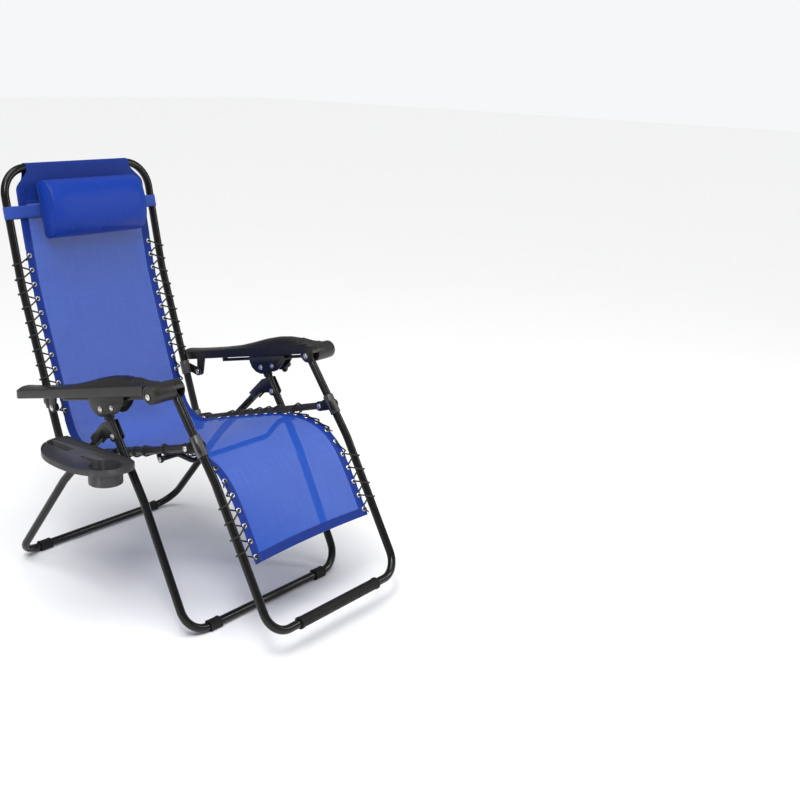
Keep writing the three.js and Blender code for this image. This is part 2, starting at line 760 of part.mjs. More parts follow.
const backAxis = (s) => {
  const p = fineAt(s);
  if (p[1] > BACK_BEND[1] + 30) return { point: BACK_BEND, dir: unit(BACK_TOP, BACK_BEND) };
  if (p[1] > BACK_BEND[1] - 30) return { point: add2(BACK_BEND, [0.4, 0]), dir: unit(BACK_TOP, backAt(500)) };
  return { point: BACK_BEND, dir: unit(BACK_BEND, backAt(500)) };
};
const clearOf = (points, reach) => (s, next) => {
  const m = fineAt((s + next) / 2);
  return points.every((p) => dist2(p, m) > reach);
};
addPair('lacing_back', lacing(backEyelets, TUBE_R, backAxis, clearOf([armBackAt], 44)), 'cord');
const railAxis = () => ({ point: SEAT_FRONT, dir: railDir });
const seatWraps = (s, next) => fineAt(next)[0] < SEAT_FRONT[0] - 40
  && Math.abs((fineAt(s)[0] + fineAt(next)[0]) / 2 - bracePoint[0]) > 26;
addPair('lacing_seat', lacing(onSeat, RAIL_R, railAxis, seatWraps), 'cord');
const legAxis = (s) => {
  const p = fineAt(s);
  const down = unit(FOOTREST_KNEE, FOOTREST_END);
  return p[1] > FOOTREST_KNEE[1] ? { point: FOOTREST_KNEE, dir: [-kneeUp[0], -kneeUp[1]] }
    : { point: FOOTREST_KNEE, dir: down };
};
const legWraps = (s) => fineAt(s)[1] < FOOTREST_KNEE[1] - 14;
addPair('lacing_leg', lacing(onLeg, TUBE_R, legAxis, legWraps), 'cord');

// ---------------------------------------------------------------- pillow and strap
const upDir = unit(BACK_BEND, BACK_TOP);
const headAt = (d, n) => add2(add2(BACK_TOP, upDir, -d), backNormal, n);
const STRAP_AT = 118;          // distance of the strap below the top bar
const STRAP_W = 34;
const strapFront = 15.4;
const strapBack = -13.6;
function strapLoop(offset) {
  const half = TUBE_Y + TUBE_R + 1.2;
  const front = strapFront + offset;
  const back = strapBack - offset;
  const side = half + offset;
  return [
    [-side, back + 6], [-side + 6, back], [side - 6, back], [side, back + 6],
    [side, front - 6], [side - 6, front], [-side + 6, front], [-side, front - 6],
  ];
}
function strapSolid() {
  const outer = strapLoop(0);
  const inner = strapLoop(-1.2);
  const shape = new THREE.Shape(outer.map(([y, n]) => new THREE.Vector2(y, n)));
  const holePath = new THREE.Path(inner.map(([y, n]) => new THREE.Vector2(y, n)));
  shape.holes.push(holePath);
  const g = new THREE.ExtrudeGeometry(shape, { depth: STRAP_W, bevelEnabled: false });
  const low = headAt(STRAP_AT + STRAP_W / 2, 0);
  const m = new THREE.Matrix4().makeBasis(
    V(0, 1, 0),
    V(backNormal[0], 0, backNormal[1]),
    V(upDir[0], 0, upDir[1]),
  );
  if (m.determinant() < 0) {
    m.makeBasis(V(0, -1, 0), V(backNormal[0], 0, backNormal[1]), V(upDir[0], 0, upDir[1]));
  }
  g.applyMatrix4(m);
  g.translate(low[0], 0, low[1]);
  return toSolid(g);
}
add('pillow_strap', strapSolid(), 'strap');

// half-round bolster: flat back on the strap, round front
const PILLOW_HALF = 163;
const PILLOW_H = 86;            // half height
const PILLOW_D = 74;
const pillowBase = strapFront + GAP;
const pillowProfile = [];
for (let k = 0; k <= 14; k += 1) {
  const t = Math.PI * (k / 14) - Math.PI / 2;
  const e = 0.8;
  const c = Math.sign(Math.cos(t)) * Math.abs(Math.cos(t)) ** e;
  const s = Math.sign(Math.sin(t)) * Math.abs(Math.sin(t)) ** e;
  pillowProfile.push(headAt(STRAP_AT - PILLOW_H * s, pillowBase + 12 + (PILLOW_D - 12) * c));
}
pillowProfile.push(headAt(STRAP_AT - PILLOW_H + 12, pillowBase));
pillowProfile.push(headAt(STRAP_AT + PILLOW_H - 12, pillowBase));
add('pillow', plate(pillowProfile, -PILLOW_HALF, PILLOW_HALF, 9), 'pillow');

// ---------------------------------------------------------------- side tray
const trayIn = -(LEG_Y + TUBE_R + 4);
const trayOutline = [
  [-446, -308], [-430, trayIn], [-330, trayIn], [-262, trayIn], [-250, trayIn - 6],
  [-228, trayIn - 6], [-216, trayIn], [-190, trayIn], [-166, trayIn - 6], [-150, -318], [-143, -345],
  [-150, -378], [-172, -408], [-206, -428], [-250, -438], [-304, -438],
  [-356, -430], [-402, -410], [-436, -378], [-450, -342],
];
function shrink(outline, by) {
  const n = outline.length;
  let cx = 0;
  let cy = 0;
  outline.forEach(([x, y]) => {
    cx += x / n;
    cy += y / n;
  });
  return outline.map(([x, y]) => {
    const d = Math.hypot(x - cx, y - cy);
    return [x + ((cx - x) * by) / d, y + ((cy - y) * by) / d];
  });
}
const TRAY_RIM = 15;
const CUP = [-200, -366];
const CUP_R = 40;
const SLOT = [-398, -356];
const trayShell = without(
  slab(trayOutline, TRAY_Z - TRAY_RIM, TRAY_Z),
  slab(shrink(trayOutline, 3.2), TRAY_Z - TRAY_RIM + 10, TRAY_Z + 5),
  slab(shrink(trayOutline, 3.2), TRAY_Z - TRAY_RIM - 5, TRAY_Z - TRAY_RIM + 7),
);
const cupWall = rodZ(CUP[0], CUP[1], CUP_R + 2, TRAY_Z - 48, TRAY_Z - 6, 32);
const slotBox = slab([
  [SLOT[0] - 48, SLOT[1] - 14], [SLOT[0] + 48, SLOT[1] - 14],
  [SLOT[0] + 48, SLOT[1] + 14], [SLOT[0] - 48, SLOT[1] + 14],
], TRAY_Z - 44, TRAY_Z - 6);
const slotHole = slab([
  [SLOT[0] - 46, SLOT[1] - 12], [SLOT[0] + 46, SLOT[1] - 12],
  [SLOT[0] + 46, SLOT[1] + 12], [SLOT[0] - 46, SLOT[1] + 12],
], TRAY_Z - 42, TRAY_Z + 5);
const notch = slab([
  [CUP[0] - 95, CUP[1] - 6], [CUP[0], CUP[1] - 6], [CUP[0], CUP[1] + 6], [CUP[0] - 95, CUP[1] + 6],
], TRAY_Z - 20, TRAY_Z + 5);

// saddles that hook on the two leg tubes from outside
const legPointAt = (z) => onLine(LEG_BEND, LEG_SLOPE, z);
function saddle(centre, dir, from, reachBack) {
  const across = [-dir[1], dir[0]];
  const a = add2(add2(centre, dir, -12), across, -15);
  const b = add2(add2(centre, dir, 12), across, -15);
  const c = add2(add2(centre, dir, 12), across, reachBack);
  const d = add2(add2(centre, dir, -12), across, reachBack);
  return plate([a, b, c, d], -(LEG_Y + 15), from);
}
const clipFront = legPointAt(TRAY_Z - 24);
const clipRear = rearAxis(118, 0);
const barAt = (centre, dir) => bar([
  V(...vec(add2(centre, dir, -40), -LEG_Y)),
  V(...vec(add2(centre, dir, 40), -LEG_Y)),
], TUBE_R + 0.4, 12);
const openTube = (centre, dir) => {
  const across = [-dir[1], dir[0]];
  const k = TUBE_R + 0.4;
  return plate([
    add2(add2(centre, dir, -40), across, -k),
    add2(add2(centre, dir, 40), across, -k),
    add2(add2(centre, dir, 40), across, k),
    add2(add2(centre, dir, -40), across, k),
  ], -LEG_Y, -LEG_Y + 30);
};
const frontSaddle = without(
  saddle(clipFront, legUp, -LEG_Y + 2, 15),
  barAt(clipFront, legUp),
  openTube(clipFront, legUp),
);
const frontStrut = plate([
  add2(clipFront, [-14, -10]), add2(clipFront, [14, -10]), [clipFront[0] + 16, TRAY_Z - 6], [clipFront[0] - 20, TRAY_Z - 6],
], -(LEG_Y + 17), -(LEG_Y + 12.2));
const rearFinger = without(
  plate([
    rearAxis(104, 11.5), rearAxis(132, 11.5), rearAxis(132, 14.5), rearAxis(104, 14.5),
  ], -(LEG_Y + 15), -LEG_Y + 6),
  barAt(clipRear, REAR_UP),
);
const rearStrut = plate([
  rearAxis(104, -8), rearAxis(132, -8), [-378, TRAY_Z - 6], [-436, TRAY_Z - 6], rearAxis(132, 14.5), rearAxis(104, 14.5),
], -(LEG_Y + 16.5), -(LEG_Y + 12));
add('side_tray', joined(
  without(
    joined(trayShell, cupWall, slotBox),
    rodZ(CUP[0], CUP[1], CUP_R, TRAY_Z - 46, TRAY_Z + 5, 32),
    slotHole,
    notch,
  ),
  frontSaddle,
  frontStrut,
  rearFinger,
  rearStrut,
), 'tray');

// ---------------------------------------------------------------- centre over the floor
group.updateMatrixWorld(true);
const box = new THREE.Box3().setFromObject(group);
for (const mesh of group.children) {
  mesh.geometry.translate(-(box.min.x + box.max.x) / 2, -(box.min.y + box.max.y) / 2, -box.min.z);
}

export default group;
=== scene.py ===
# Looks of the zero gravity recliner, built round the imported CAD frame.
# Side-view points are in millimetres with x = 0 where the front legs meet the floor,
# and place() puts them in the row frame, in metres.
import json
from math import atan2, ceil, copysign, cos, exp, hypot, pi, radians, sin, sqrt, tan

import bmesh
import bpy
import numpy as np
from mathutils import Matrix, Vector
from mathutils.bvhtree import BVHTree


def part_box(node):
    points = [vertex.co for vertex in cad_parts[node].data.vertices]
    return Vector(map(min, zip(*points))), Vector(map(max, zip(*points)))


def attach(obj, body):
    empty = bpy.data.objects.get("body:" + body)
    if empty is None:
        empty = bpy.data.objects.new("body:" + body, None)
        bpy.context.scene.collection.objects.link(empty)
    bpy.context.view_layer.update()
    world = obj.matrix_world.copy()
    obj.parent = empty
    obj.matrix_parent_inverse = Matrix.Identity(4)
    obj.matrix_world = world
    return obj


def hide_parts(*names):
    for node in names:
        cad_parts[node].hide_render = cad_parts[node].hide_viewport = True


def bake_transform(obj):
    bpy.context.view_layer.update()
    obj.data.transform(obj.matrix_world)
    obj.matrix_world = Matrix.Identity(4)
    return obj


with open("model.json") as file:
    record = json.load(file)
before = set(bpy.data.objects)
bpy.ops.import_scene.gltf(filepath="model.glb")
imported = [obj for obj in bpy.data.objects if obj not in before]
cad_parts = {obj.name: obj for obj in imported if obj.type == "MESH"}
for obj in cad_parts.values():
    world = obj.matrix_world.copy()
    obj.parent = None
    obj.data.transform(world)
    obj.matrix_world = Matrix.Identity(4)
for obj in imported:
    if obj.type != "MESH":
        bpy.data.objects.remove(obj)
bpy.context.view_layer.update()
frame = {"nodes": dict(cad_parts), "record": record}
BODY = {n: b for b, ns in frame["record"]["behaviour"]["bodies"].items() for n in ns}
SCENE = bpy.context.scene

# ---- sizes, as in the CAD
TUBE_R, RAIL_R, LEG_Y, TUBE_Y = 11, 10, 285, 243
LEG_BEND, LEG_SLOPE = (-156.5, 332.6), -0.6333
REAR_BEND, REAR_FOOT, REAR_UP = (-490.6, 303.8), (-727.6, 14), (0.713, 0.701)
BACK_TOP, BACK_BEND, BACK_SLOPE = (-758.0, 1108.3), (-692.6, 801.6), -0.3264
KNEE, KNEE_SLOPE, FOOTREST_END = (60.5, 431.2), -0.7133, (252.4, 85.0)
SEAT_FRONT, SEAT_REAR = (-32, 499), (-500, 358)
LOCK_FRONT = (-250, 565)
ARM_IN, ARM_OUT, ROLL_IN, ROLL_R, ARM_SLOPE = 262, 322, 229, 24, 0.2235
SLING_HALF, GROMMET_Y = 214, 205
BACK_PITCH, SEAT_PITCH = 39.4, 40
FLOOR_BAR, LOCK_HALF = 14, 17         # height of the floor bars; half width of a lock
TRAY_Z, TRAY_RIM, CUP, CUP_R, SLOT = 447, 15, (-200, -366), 40, (-398, -356)
BAR_OVER = TUBE_R + 1.7            # from the middle of the top bar to the middle of the cloth


def middle(node):
    lo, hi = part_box(node)
    return (lo + hi) / 2


OX = middle("rear_foot_left").x - REAR_FOOT[0] / 1000
OY = middle("front_leg_frame").y


def place(x, y, z):
    return Vector((OX + x / 1000, OY + y / 1000, z / 1000))


def add2(a, b, k=1.0):
    return (a[0] + b[0] * k, a[1] + b[1] * k)


def dist(a, b):
    return hypot(b[0] - a[0], b[1] - a[1])


def unit(a, b):
    d = dist(a, b)
    return ((b[0] - a[0]) / d, (b[1] - a[1]) / d)


def polar(c, r, a):
    return (c[0] + r * cos(a), c[1] + r * sin(a))


def on_line(p, slope, z):
    return (p[0] + slope * (z - p[1]), z)


def smooth(t):
    t = min(max(t, 0.0), 1.0)
    return t * t * (3 - 2 * t)


def back_at(z):
    return on_line(BACK_BEND, BACK_SLOPE, z)


def arm_under(x):
    return 518 + (x + 604) * ARM_SLOPE


ARM_FRONT = on_line(KNEE, KNEE_SLOPE, 633)
ARM_REAR = (SEAT_REAR[0] - SEAT_FRONT[0] + ARM_FRONT[0], SEAT_REAR[1] - SEAT_FRONT[1] + ARM_FRONT[1])
LOCK_PIVOT = on_line(LEG_BEND, LEG_SLOPE, 552)
CROSS = on_line(LEG_BEND, LEG_SLOPE, 487.5)
RAIL_DIR = unit(SEAT_REAR, SEAT_FRONT)
RAIL_UP = (-RAIL_DIR[1], RAIL_DIR[0])
KNEE_UP = unit(KNEE, ARM_FRONT)
LEG_UP = unit(LEG_BEND, LOCK_PIVOT)
UP_DIR = unit(BACK_BEND, BACK_TOP)
BACK_N = (0.978, 0.2086)


# ---- materials
YARN, THREAD_R, STITCH = 0.0017, 0.00055, 0.0036    # metres


class Nodes:
    """Short way to lay nodes in one material."""

    def __init__(self, name):
        self.m = bpy.data.materials.new(name)
        self.m.use_nodes = True
        self.t = self.m.node_tree
        self.b = self.t.nodes["Principled BSDF"]

    def add(self, kind, inputs, **props):
        n = self.t.nodes.new(kind)
        for k, v in props.items():
            setattr(n, k, v)
        for k, v in inputs.items():
            self.put(n.inputs[k], v)
        return n.outputs

    def put(self, socket, v):
        if isinstance(v, bpy.types.NodeSocket):
            self.t.links.new(v, socket)
        else:
            socket.default_value = v

    def math(self, op, a, b=0.0):
        return self.add("ShaderNodeMath", {0: a, 1: b}, operation=op)[0]

    def times(self, a, b):
        return self.math("MULTIPLY", a, b)

    def plus(self, a, b):
        return self.math("ADD", a, b)

    def wave(self, v, pitch):
        return self.math("SINE", self.times(v, 2 * pi / pitch))

    def noise(self, scale, detail, rough, vector):
        return self.add("ShaderNodeTexNoise", {"Scale": scale, "Detail": detail, "Roughness": rough,
                                               "Vector": vector})[0]

    def remap(self, v, a, b, c, d):
        return self.add("ShaderNodeMapRange", {0: v, 1: a, 2: b, 3: c, 4: d})[0]

    def mix(self, f, a, b):
        a, b = ((*v, 1.0) if isinstance(v, tuple) else v for v in (a, b))
        return self.add("ShaderNodeMix", {0: f, 6: a, 7: b}, data_type="RGBA")[2]

    def at(self):
        return self.add("ShaderNodeTexCoord", {})["Object"]

    def edges(self):
        return self.add("ShaderNodeNewGeometry", {})["Pointiness"]

    def cloth_uv(self):
        """The UV map, in metres: u across the chair, v down the cloth."""
        uv = self.add("ShaderNodeUVMap", {}, uv_map="cloth")[0]
        return uv, *self.split(uv)[:2]

    def split(self, vector):
        return list(self.add("ShaderNodeSeparateXYZ", {0: vector}))

    def scaled(self, vector, *by):
        return self.add("ShaderNodeVectorMath", {0: vector, 1: by}, operation="MULTIPLY")[0]

    def bump(self, height, strength, distance, **under):
        return self.add("ShaderNodeBump", {"Strength": strength, "Distance": distance, "Height": height,
                                           **under})[0]

    def done(self, color, rough, **rest):
        for k, v in {"Base_Color": color, "Roughness": rough, **rest}.items():
            self.put(self.b.inputs[k.replace("_", " ")], v)
        return self.m


def painted(name, dark, light, rough, edge_highlight, coat):
    """Powder coat on steel: orange peel, a little dust, and sharp edges painted paler as a highlight."""
    n = Nodes(name)
    at = n.at()
    base = n.mix(n.noise(14.0, 4.0, 0.6, at), dark, light)
    # painted highlight: sharp outer edges are mixed towards pale grey
    color = n.mix(n.remap(n.edges(), 0.54, 0.62, 0.0, edge_highlight), base, (0.16, 0.16, 0.165))
    r = n.remap(n.noise(32.0, 5.0, 0.65, at), 0.3, 0.7, rough - 0.05, rough + 0.07)
    peel = n.noise(700.0, 2.0, 0.5, at)
    return n.done(color, r, Normal=n.bump(peel, 0.10, 0.0002), Specular_IOR_Level=coat)


def moulded(name, dark, light, rough, grain, depth, shine=0.4):
    """Moulded plastic or rubber with a spark-eroded grain."""
    n = Nodes(name)
    at = n.at()
    cell = n.add("ShaderNodeTexVoronoi", {"Scale": grain, "Vector": at}, feature="F1")["Distance"]
    height = n.plus(n.times(cell, 0.6), n.noise(grain * 0.7, 4.0, 0.6, at))
    # painted highlight: sharp outer edges turn a lighter copy of the part's colour
    edge = n.remap(n.edges(), 0.53, 0.62, 0.0, 0.5)
    base = n.mix(n.noise(9.0, 5.0, 0.6, at), dark, light)
    color = n.mix(edge, base, tuple(min(c * 2.4, 1.0) for c in light))
    r = n.remap(n.noise(40.0, 4.0, 0.6, at), 0.3, 0.7, rough - 0.06, rough + 0.07)
    return n.done(color, r, Normal=n.bump(height, 0.35, depth), Specular_IOR_Level=shine)


def zinc(name):
    n = Nodes(name)
    at = n.at()
    scratch = n.noise(60.0, 5.0, 0.7, n.scaled(at, 1, 1, 9))
    color = n.mix(n.noise(90.0, 3.0, 0.5, at), (0.62, 0.61, 0.58), (0.80, 0.79, 0.76))
    r = n.remap(scratch, 0.3, 0.75, 0.20, 0.38)
    return n.done(color, r, Normal=n.bump(scratch, 0.2, 0.0001), Metallic=0.95)


def nickel(name):
    n = Nodes(name)
    at = n.at()
    color = n.mix(n.noise(160.0, 4.0, 0.6, at), (0.55, 0.50, 0.40), (0.86, 0.83, 0.76))
    r = n.remap(n.noise(260.0, 3.0, 0.6, at), 0.3, 0.7, 0.22, 0.42)
    return n.done(color, r, Normal=n.bump(n.noise(500.0, 2.0, 0.5, at), 0.1, 0.0001), Metallic=0.9)


def textilene(name, dark, light, see, seams=(), cross=()):
    """Coated-yarn mesh. Stitches run down the cloth at |u| = seams and across it at v = cross."""
    n = Nodes(name)
    uv, u, v = n.cloth_uv()
    weave = n.times(n.wave(u, YARN), n.wave(v, YARN))
    down = n.noise(1.0, 3.0, 0.6, n.scaled(uv, 520, 9, 1))
    over = n.noise(1.0, 3.0, 0.6, n.scaled(uv, 9, 520, 1))
    slub = n.plus(n.times(down, 0.6), n.times(over, 0.4))
    tone = n.plus(n.remap(slub, 0.35, 0.65, 0.0, 0.75), n.times(n.noise(5.0, 3.0, 0.5, uv), 0.25))
    color = n.mix(tone, dark, light)
    # painted shade: the low points of the weave are darkened
    color = n.mix(n.remap(weave, -1.0, 1.0, 0.16, 0.0), color, tuple(c * 0.35 for c in dark))
    height = n.times(weave, 0.5)
    thread = 0.0
    for at, along, lines in ((n.math("ABSOLUTE", u), v, seams), (v, u, cross)):
        for line in lines:
            near = n.math("LESS_THAN", n.math("ABSOLUTE", n.math("SUBTRACT", at, line)), THREAD_R)
            dash = n.math("LESS_THAN", n.math("FRACT", n.times(along, 1 / STITCH)), 0.7)
            thread = n.math("MAXIMUM", thread, n.times(near, dash))
    if seams or cross:
        color = n.mix(thread, color, tuple(min(c * 1.7 + 0.01, 1.0) for c in light))
        height = n.plus(height, n.times(thread, 1.6))
    if see:
        holes = n.plus(n.remap(slub, 0.3, 0.7, see * 0.7, see * 1.1),
                       n.times(n.remap(weave, 0.2, 1.0, 0.0, 1.0), 0.05))
        n.put(n.b.inputs["Alpha"], n.math("SUBTRACT", 1.0, holes))
    return n.done(color, n.remap(slub, 0.3, 0.7, 0.46, 0.62), Normal=n.bump(height, 0.35, 0.0003),
                  Specular_IOR_Level=0.22)


def satin(name, dark, light, rough):
    """Close nylon weave with soft puckers, laid from object coordinates."""
    n = Nodes(name)
    at = n.at()
    across, up = n.split(at)[1:]
    weave = n.times(n.wave(across, 0.0009), n.wave(up, 0.0009))
    folds = n.bump(n.noise(1.0, 3.0, 0.55, n.scaled(at, 14, 60, 14)), 0.35, 0.003)
    streak = n.noise(1.0, 3.0, 0.6, n.scaled(at, 12, 420, 12))
    # the small weave term is painted shade: low points of the weave darker, high points lighter
    color = n.mix(n.plus(n.times(streak, 0.7), n.times(weave, 0.1)), dark, light)
    return n.done(color, n.remap(streak, 0.3, 0.7, rough - 0.05, rough + 0.06),
                  Normal=n.bump(weave, 0.15, 0.0002, Normal=folds),
                  Sheen_Weight=0.05, Sheen_Roughness=0.35, Specular_IOR_Level=0.22)


def ribbed(name, dark, light, pitch):
    """Elastic webbing or braided cord: fine slanted ribs laid from the UV map."""
    n = Nodes(name)
    uv, u, v = n.cloth_uv()
    h = n.math("MAXIMUM", n.wave(n.plus(v, u), pitch), n.wave(n.math("SUBTRACT", v, u), pitch))
    # painted shade: colour follows the rib height, darker in the grooves and lighter on the crests
    color = n.mix(n.remap(h, -1, 1, 0.0, 1.0), dark, light)
    r = n.remap(n.noise(400.0, 3.0, 0.6, n.at()), 0.3, 0.7, 0.67, 0.83)
    return n.done(color, r, Normal=n.bump(h, 0.5, 0.0004), Sheen_Weight=0.1)



M = {
    "tube": painted("tube_paint", (0.004, 0.004, 0.0042), (0.007, 0.007, 0.0075), 0.20, 0.30, 0.30),
    "bracket": painted("bracket_paint", (0.005, 0.005, 0.0052), (0.009, 0.009, 0.0095), 0.30, 0.8, 0.35),
    "plastic": moulded("arm_plastic", (0.010, 0.009, 0.0085), (0.016, 0.0145, 0.014), 0.34, 850.0, 0.0003),
    "tray": moulded("tray_plastic", (0.030, 0.029, 0.031), (0.040, 0.039, 0.042), 0.46, 900.0, 0.0003),
    "rubber": moulded("foot_rubber", (0.004, 0.004, 0.004), (0.008, 0.008, 0.008), 0.55, 500.0, 0.0003, 0.25),
    "zinc": zinc("bolt_zinc"),
    "nickel": nickel("grommet_nickel"),
    "mesh": textilene("sling_mesh", (0.006, 0.050, 0.36), (0.018, 0.096, 0.50), 0.065),
    "solid": textilene("sling_double", (0.003, 0.020, 0.17), (0.006, 0.032, 0.24), 0.0,
                       cross=(0.0925, 0.0895)),
    "hem": textilene("sling_hem", (0.003, 0.021, 0.18), (0.006, 0.033, 0.25), 0.0,
                     seams=(0.1915, 0.2115)),
    "pillow": satin("pillow_satin", (0.003, 0.030, 0.27), (0.007, 0.050, 0.38), 0.42),
    "piping": satin("pillow_piping", (0.005, 0.028, 0.21), (0.010, 0.045, 0.30), 0.42),
    "strap": ribbed("strap_elastic", (0.006, 0.034, 0.25), (0.012, 0.060, 0.38), 0.0016),
    "cord": ribbed("cord_braid", (0.003, 0.003, 0.003), (0.008, 0.008, 0.008), 0.0022),
    "dark": moulded("hole_shade", (0.002, 0.002, 0.002), (0.003, 0.003, 0.003), 0.9, 300.0, 0.0001),
}


# ---- mesh tools
class Shape:
    """Collects vertices in side-view millimetres, faces, UVs in metres and material numbers."""

    def __init__(self):
        self.v, self.f, self.uv, self.mi = [], [], [], []

    def grid(self, rows, uvs=None, mats=0, close_u=False, flip=False):
        """rows of points of equal length; uvs alike, or none; mats is one number or one per row."""
        base, n = len(self.v), len(rows[0])
        for r in rows:
            self.v.extend(r)
        for i in range(len(rows) - 1):
            for j in range(n if close_u else n - 1):
                k = (j + 1) % n
                q = [(i, j), (i, k), (i + 1, k), (i + 1, j)]
                tex = [uvs[a][b] for a, b in q] if uvs else [(0, 0)] * 4
                if uvs and close_u and k == 0:
                    tex[1], tex[2] = uvs[i][n], uvs[i + 1][n]
                if flip:
                    q, tex = q[::-1], tex[::-1]
                self.f.append([base + a * n + b for a, b in q])
                self.uv.append(tex)
                self.mi.append(mats if isinstance(mats, int) else mats[i])

    def fan(self, ring, centre, mat=0, flip=False):
        base, n = len(self.v), len(ring)
        self.v.extend((*ring, centre))
        for k in range(n):
            t = [base + k, base + (k + 1) % n, base + n]
            self.f.append(t[::-1] if flip else t)
            self.uv.append([(0, 0)] * 3)
            self.mi.append(mat)

    def make(self, name, mats, sharp=38.0, weld=False):
        """The object; mats names its materials, with spaces between."""
        me = bpy.data.meshes.new(name)
        me.from_pydata([place(*p) for p in self.v], [], self.f)
        layer = me.uv_layers.new(name="cloth")
        layer.data.foreach_set("uv", [c for face in self.uv for t in face for c in t])
        me.polygons.foreach_set("material_index", self.mi)
        for m in mats.split():
            me.materials.append(M[m])
        ob = linked(name, me)
        if weld:
            bm = bmesh.new()
            bm.from_mesh(me)
            bmesh.ops.remove_doubles(bm, verts=bm.verts, dist=1e-7)
            bmesh.ops.recalc_face_normals(bm, faces=bm.faces)
            bm.to_mesh(me)
            bm.free()
        soft_shade(ob, sharp)
        return ob


def linked(name, data):
    ob = bpy.data.objects.new(name, data)
    SCENE.collection.objects.link(ob)
    return ob


def soft_shade(ob, sharp=40.0):
    me = ob.data
    me.polygons.foreach_set("use_smooth", [True] * len(me.polygons))
    me.set_sharp_from_angle(angle=radians(sharp))
    me.update()


def settled(ob):
    """Applies every modifier of ob."""
    bpy.context.view_layer.update()
    dg = bpy.context.evaluated_depsgraph_get()
    me = bpy.data.meshes.new_from_object(ob.evaluated_get(dg), preserve_all_data_layers=True, depsgraph=dg)
    ob.modifiers.clear()
    ob.data = me
def cut(ob, cutter, op="DIFFERENCE"):
    m = ob.modifiers.new("cut", "BOOLEAN")
    m.operation, m.solver, m.object = op, "EXACT", cutter
    settled(ob)
    bpy.data.objects.remove(cutter)


def bevelled(ob, mm, angle=32.0):
    m = ob.modifiers.new("bevel", "BEVEL")
    m.width, m.segments, m.limit_method, m.angle_limit = mm / 1000, 2, "ANGLE", radians(angle)
    settled(ob)
    soft_shade(ob)
    return ob


def finish(ob, node, stands=True):
    """ob rides where its CAD node does; most pieces stand for the node, which is then hidden."""
    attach(ob, BODY[node])
    if stands:
        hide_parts(node)
    return ob


def rounded(points, radii, steps):
    """The corner line with each inner corner turned at its radius, in so many steps."""
    pts = [Vector(p) for p in points]
    out = [pts[0].copy()]
    for before, at, after, r, n in zip(pts, pts[1:], pts[2:], radii[1:], steps[1:]):
        a, b = (before - at).normalized(), (after - at).normalized()
        half = a.angle(b) / 2
        centre = at + (a + b).normalized() * (r / sin(half))
        start, end = (at + d * (r / tan(half)) - centre for d in (a, b))
        turn, axis = start.angle(end), start.cross(end).normalized()
        out += [Matrix.Rotation(turn * k / n, 3, axis) @ start + centre for k in range(n + 1)]
    return out + [pts[-1].copy()]


def sweep(shape, pts, r, sides=28, mat=0):
    """A round bar along pts; r is a number or one per point. UV: u round it, v along it."""
    pts = [Vector(p) for p in pts]
    n = len(pts)
    rs = r if hasattr(r, "__len__") else [r] * n
    way = []
    for i in range(n):
        t = Vector((0, 0, 0))
        if i > 0:
            t += (pts[i] - pts[i - 1]).normalized()
        if i < n - 1:
            t += (pts[i + 1] - pts[i]).normalized()
        way.append(t.normalized())
    side = Vector((0, 1, 0)) if abs(way[0].y) < 0.9 else Vector((1, 0, 0))
    u = (side - way[0] * side.dot(way[0])).normalized()
    rows, uvs, run = [], [], 0.0
    turns = [2 * pi * k / sides for k in range(sides + 1)]
    for i in range(n):
        if i:
            run += (pts[i] - pts[i - 1]).length / 1000
        u = (u - way[i] * u.dot(way[i])).normalized()
        w = way[i].cross(u)
        rows.append([pts[i] + (u * cos(a) + w * sin(a)) * rs[i] for a in turns[:-1]])
        uvs.append([(a * rs[i] / 1000, run) for a in turns])
    shape.grid(rows, uvs, mat, close_u=True)
    for i, s in ((0, -1), (-1, 1)):        # slightly domed ends
        inner = [pts[i] + (p - pts[i]) * 0.86 + way[i] * (s * rs[i] * 0.12) for p in rows[i]]
        shape.grid([rows[i], inner], None, mat, close_u=True, flip=s < 0)
        shape.fan(inner, pts[i] + way[i] * (s * rs[i] * 0.16), mat, flip=s < 0)


def lathe(shape, at, profile, segs=32, power=2.0):
    """Turns a (y, r) profile round the y line through at = (x, z). Power above 2 squares it off."""
    rows, uvs = [], []
    for y, r in profile:
        ring = []
        for k in range(segs):
            a = 2 * pi * k / segs
            c, s = cos(a), sin(a)
            q = r / (abs(c) ** power + abs(s) ** power) ** (1 / power)
            ring.append((at[0] + q * c, y, at[1] + q * s))
        rows.append(ring)
        uvs.append([(k / segs * 2 * pi * max(r, 1) / 1000, y / 1000) for k in range(segs + 1)])
    shape.grid(rows, uvs, close_u=True)


def plate(name, outline, h0, h1, mat, upright=False):
    """Closed slab of an (x, z) outline between two y, or if upright of an (x, y) outline between two z."""
    s = Shape()
    n = len(outline)
    s.v = [(a, b, h) if upright else (a, h, b) for h in (h0, h1) for a, b in outline]
    s.f = [list(range(n)), list(range(2 * n - 1, n - 1, -1))]
    s.f += [[k, k + n, (k + 1) % n + n, (k + 1) % n] for k in range(n)]
    s.uv = [[(0, 0)] * len(f) for f in s.f]
    s.mi = [0] * len(s.f)
    return s.make(name, mat, weld=True)


def dressed(node, mat, mm=0.5):
    """A beveled, welded copy of a small CAD piece, in its finish."""
    me = frame["nodes"][node].data.copy()
    me.name = "look_" + node
    bm = bmesh.new()
    bm.from_mesh(me)
    bmesh.ops.remove_doubles(bm, verts=bm.verts, dist=2e-6)
    bmesh.ops.dissolve_limit(bm, angle_limit=radians(1.0), verts=bm.verts, edges=bm.edges)
    bm.to_mesh(me)
    bm.free()
    for a in ("custom_normal", "normal"):
        if a in me.attributes:
            me.attributes.remove(me.attributes[a])
    me.materials.clear()
    me.materials.append(M[mat])
    return finish(bevelled(linked("look_" + node, me), mm, 35.0), node)


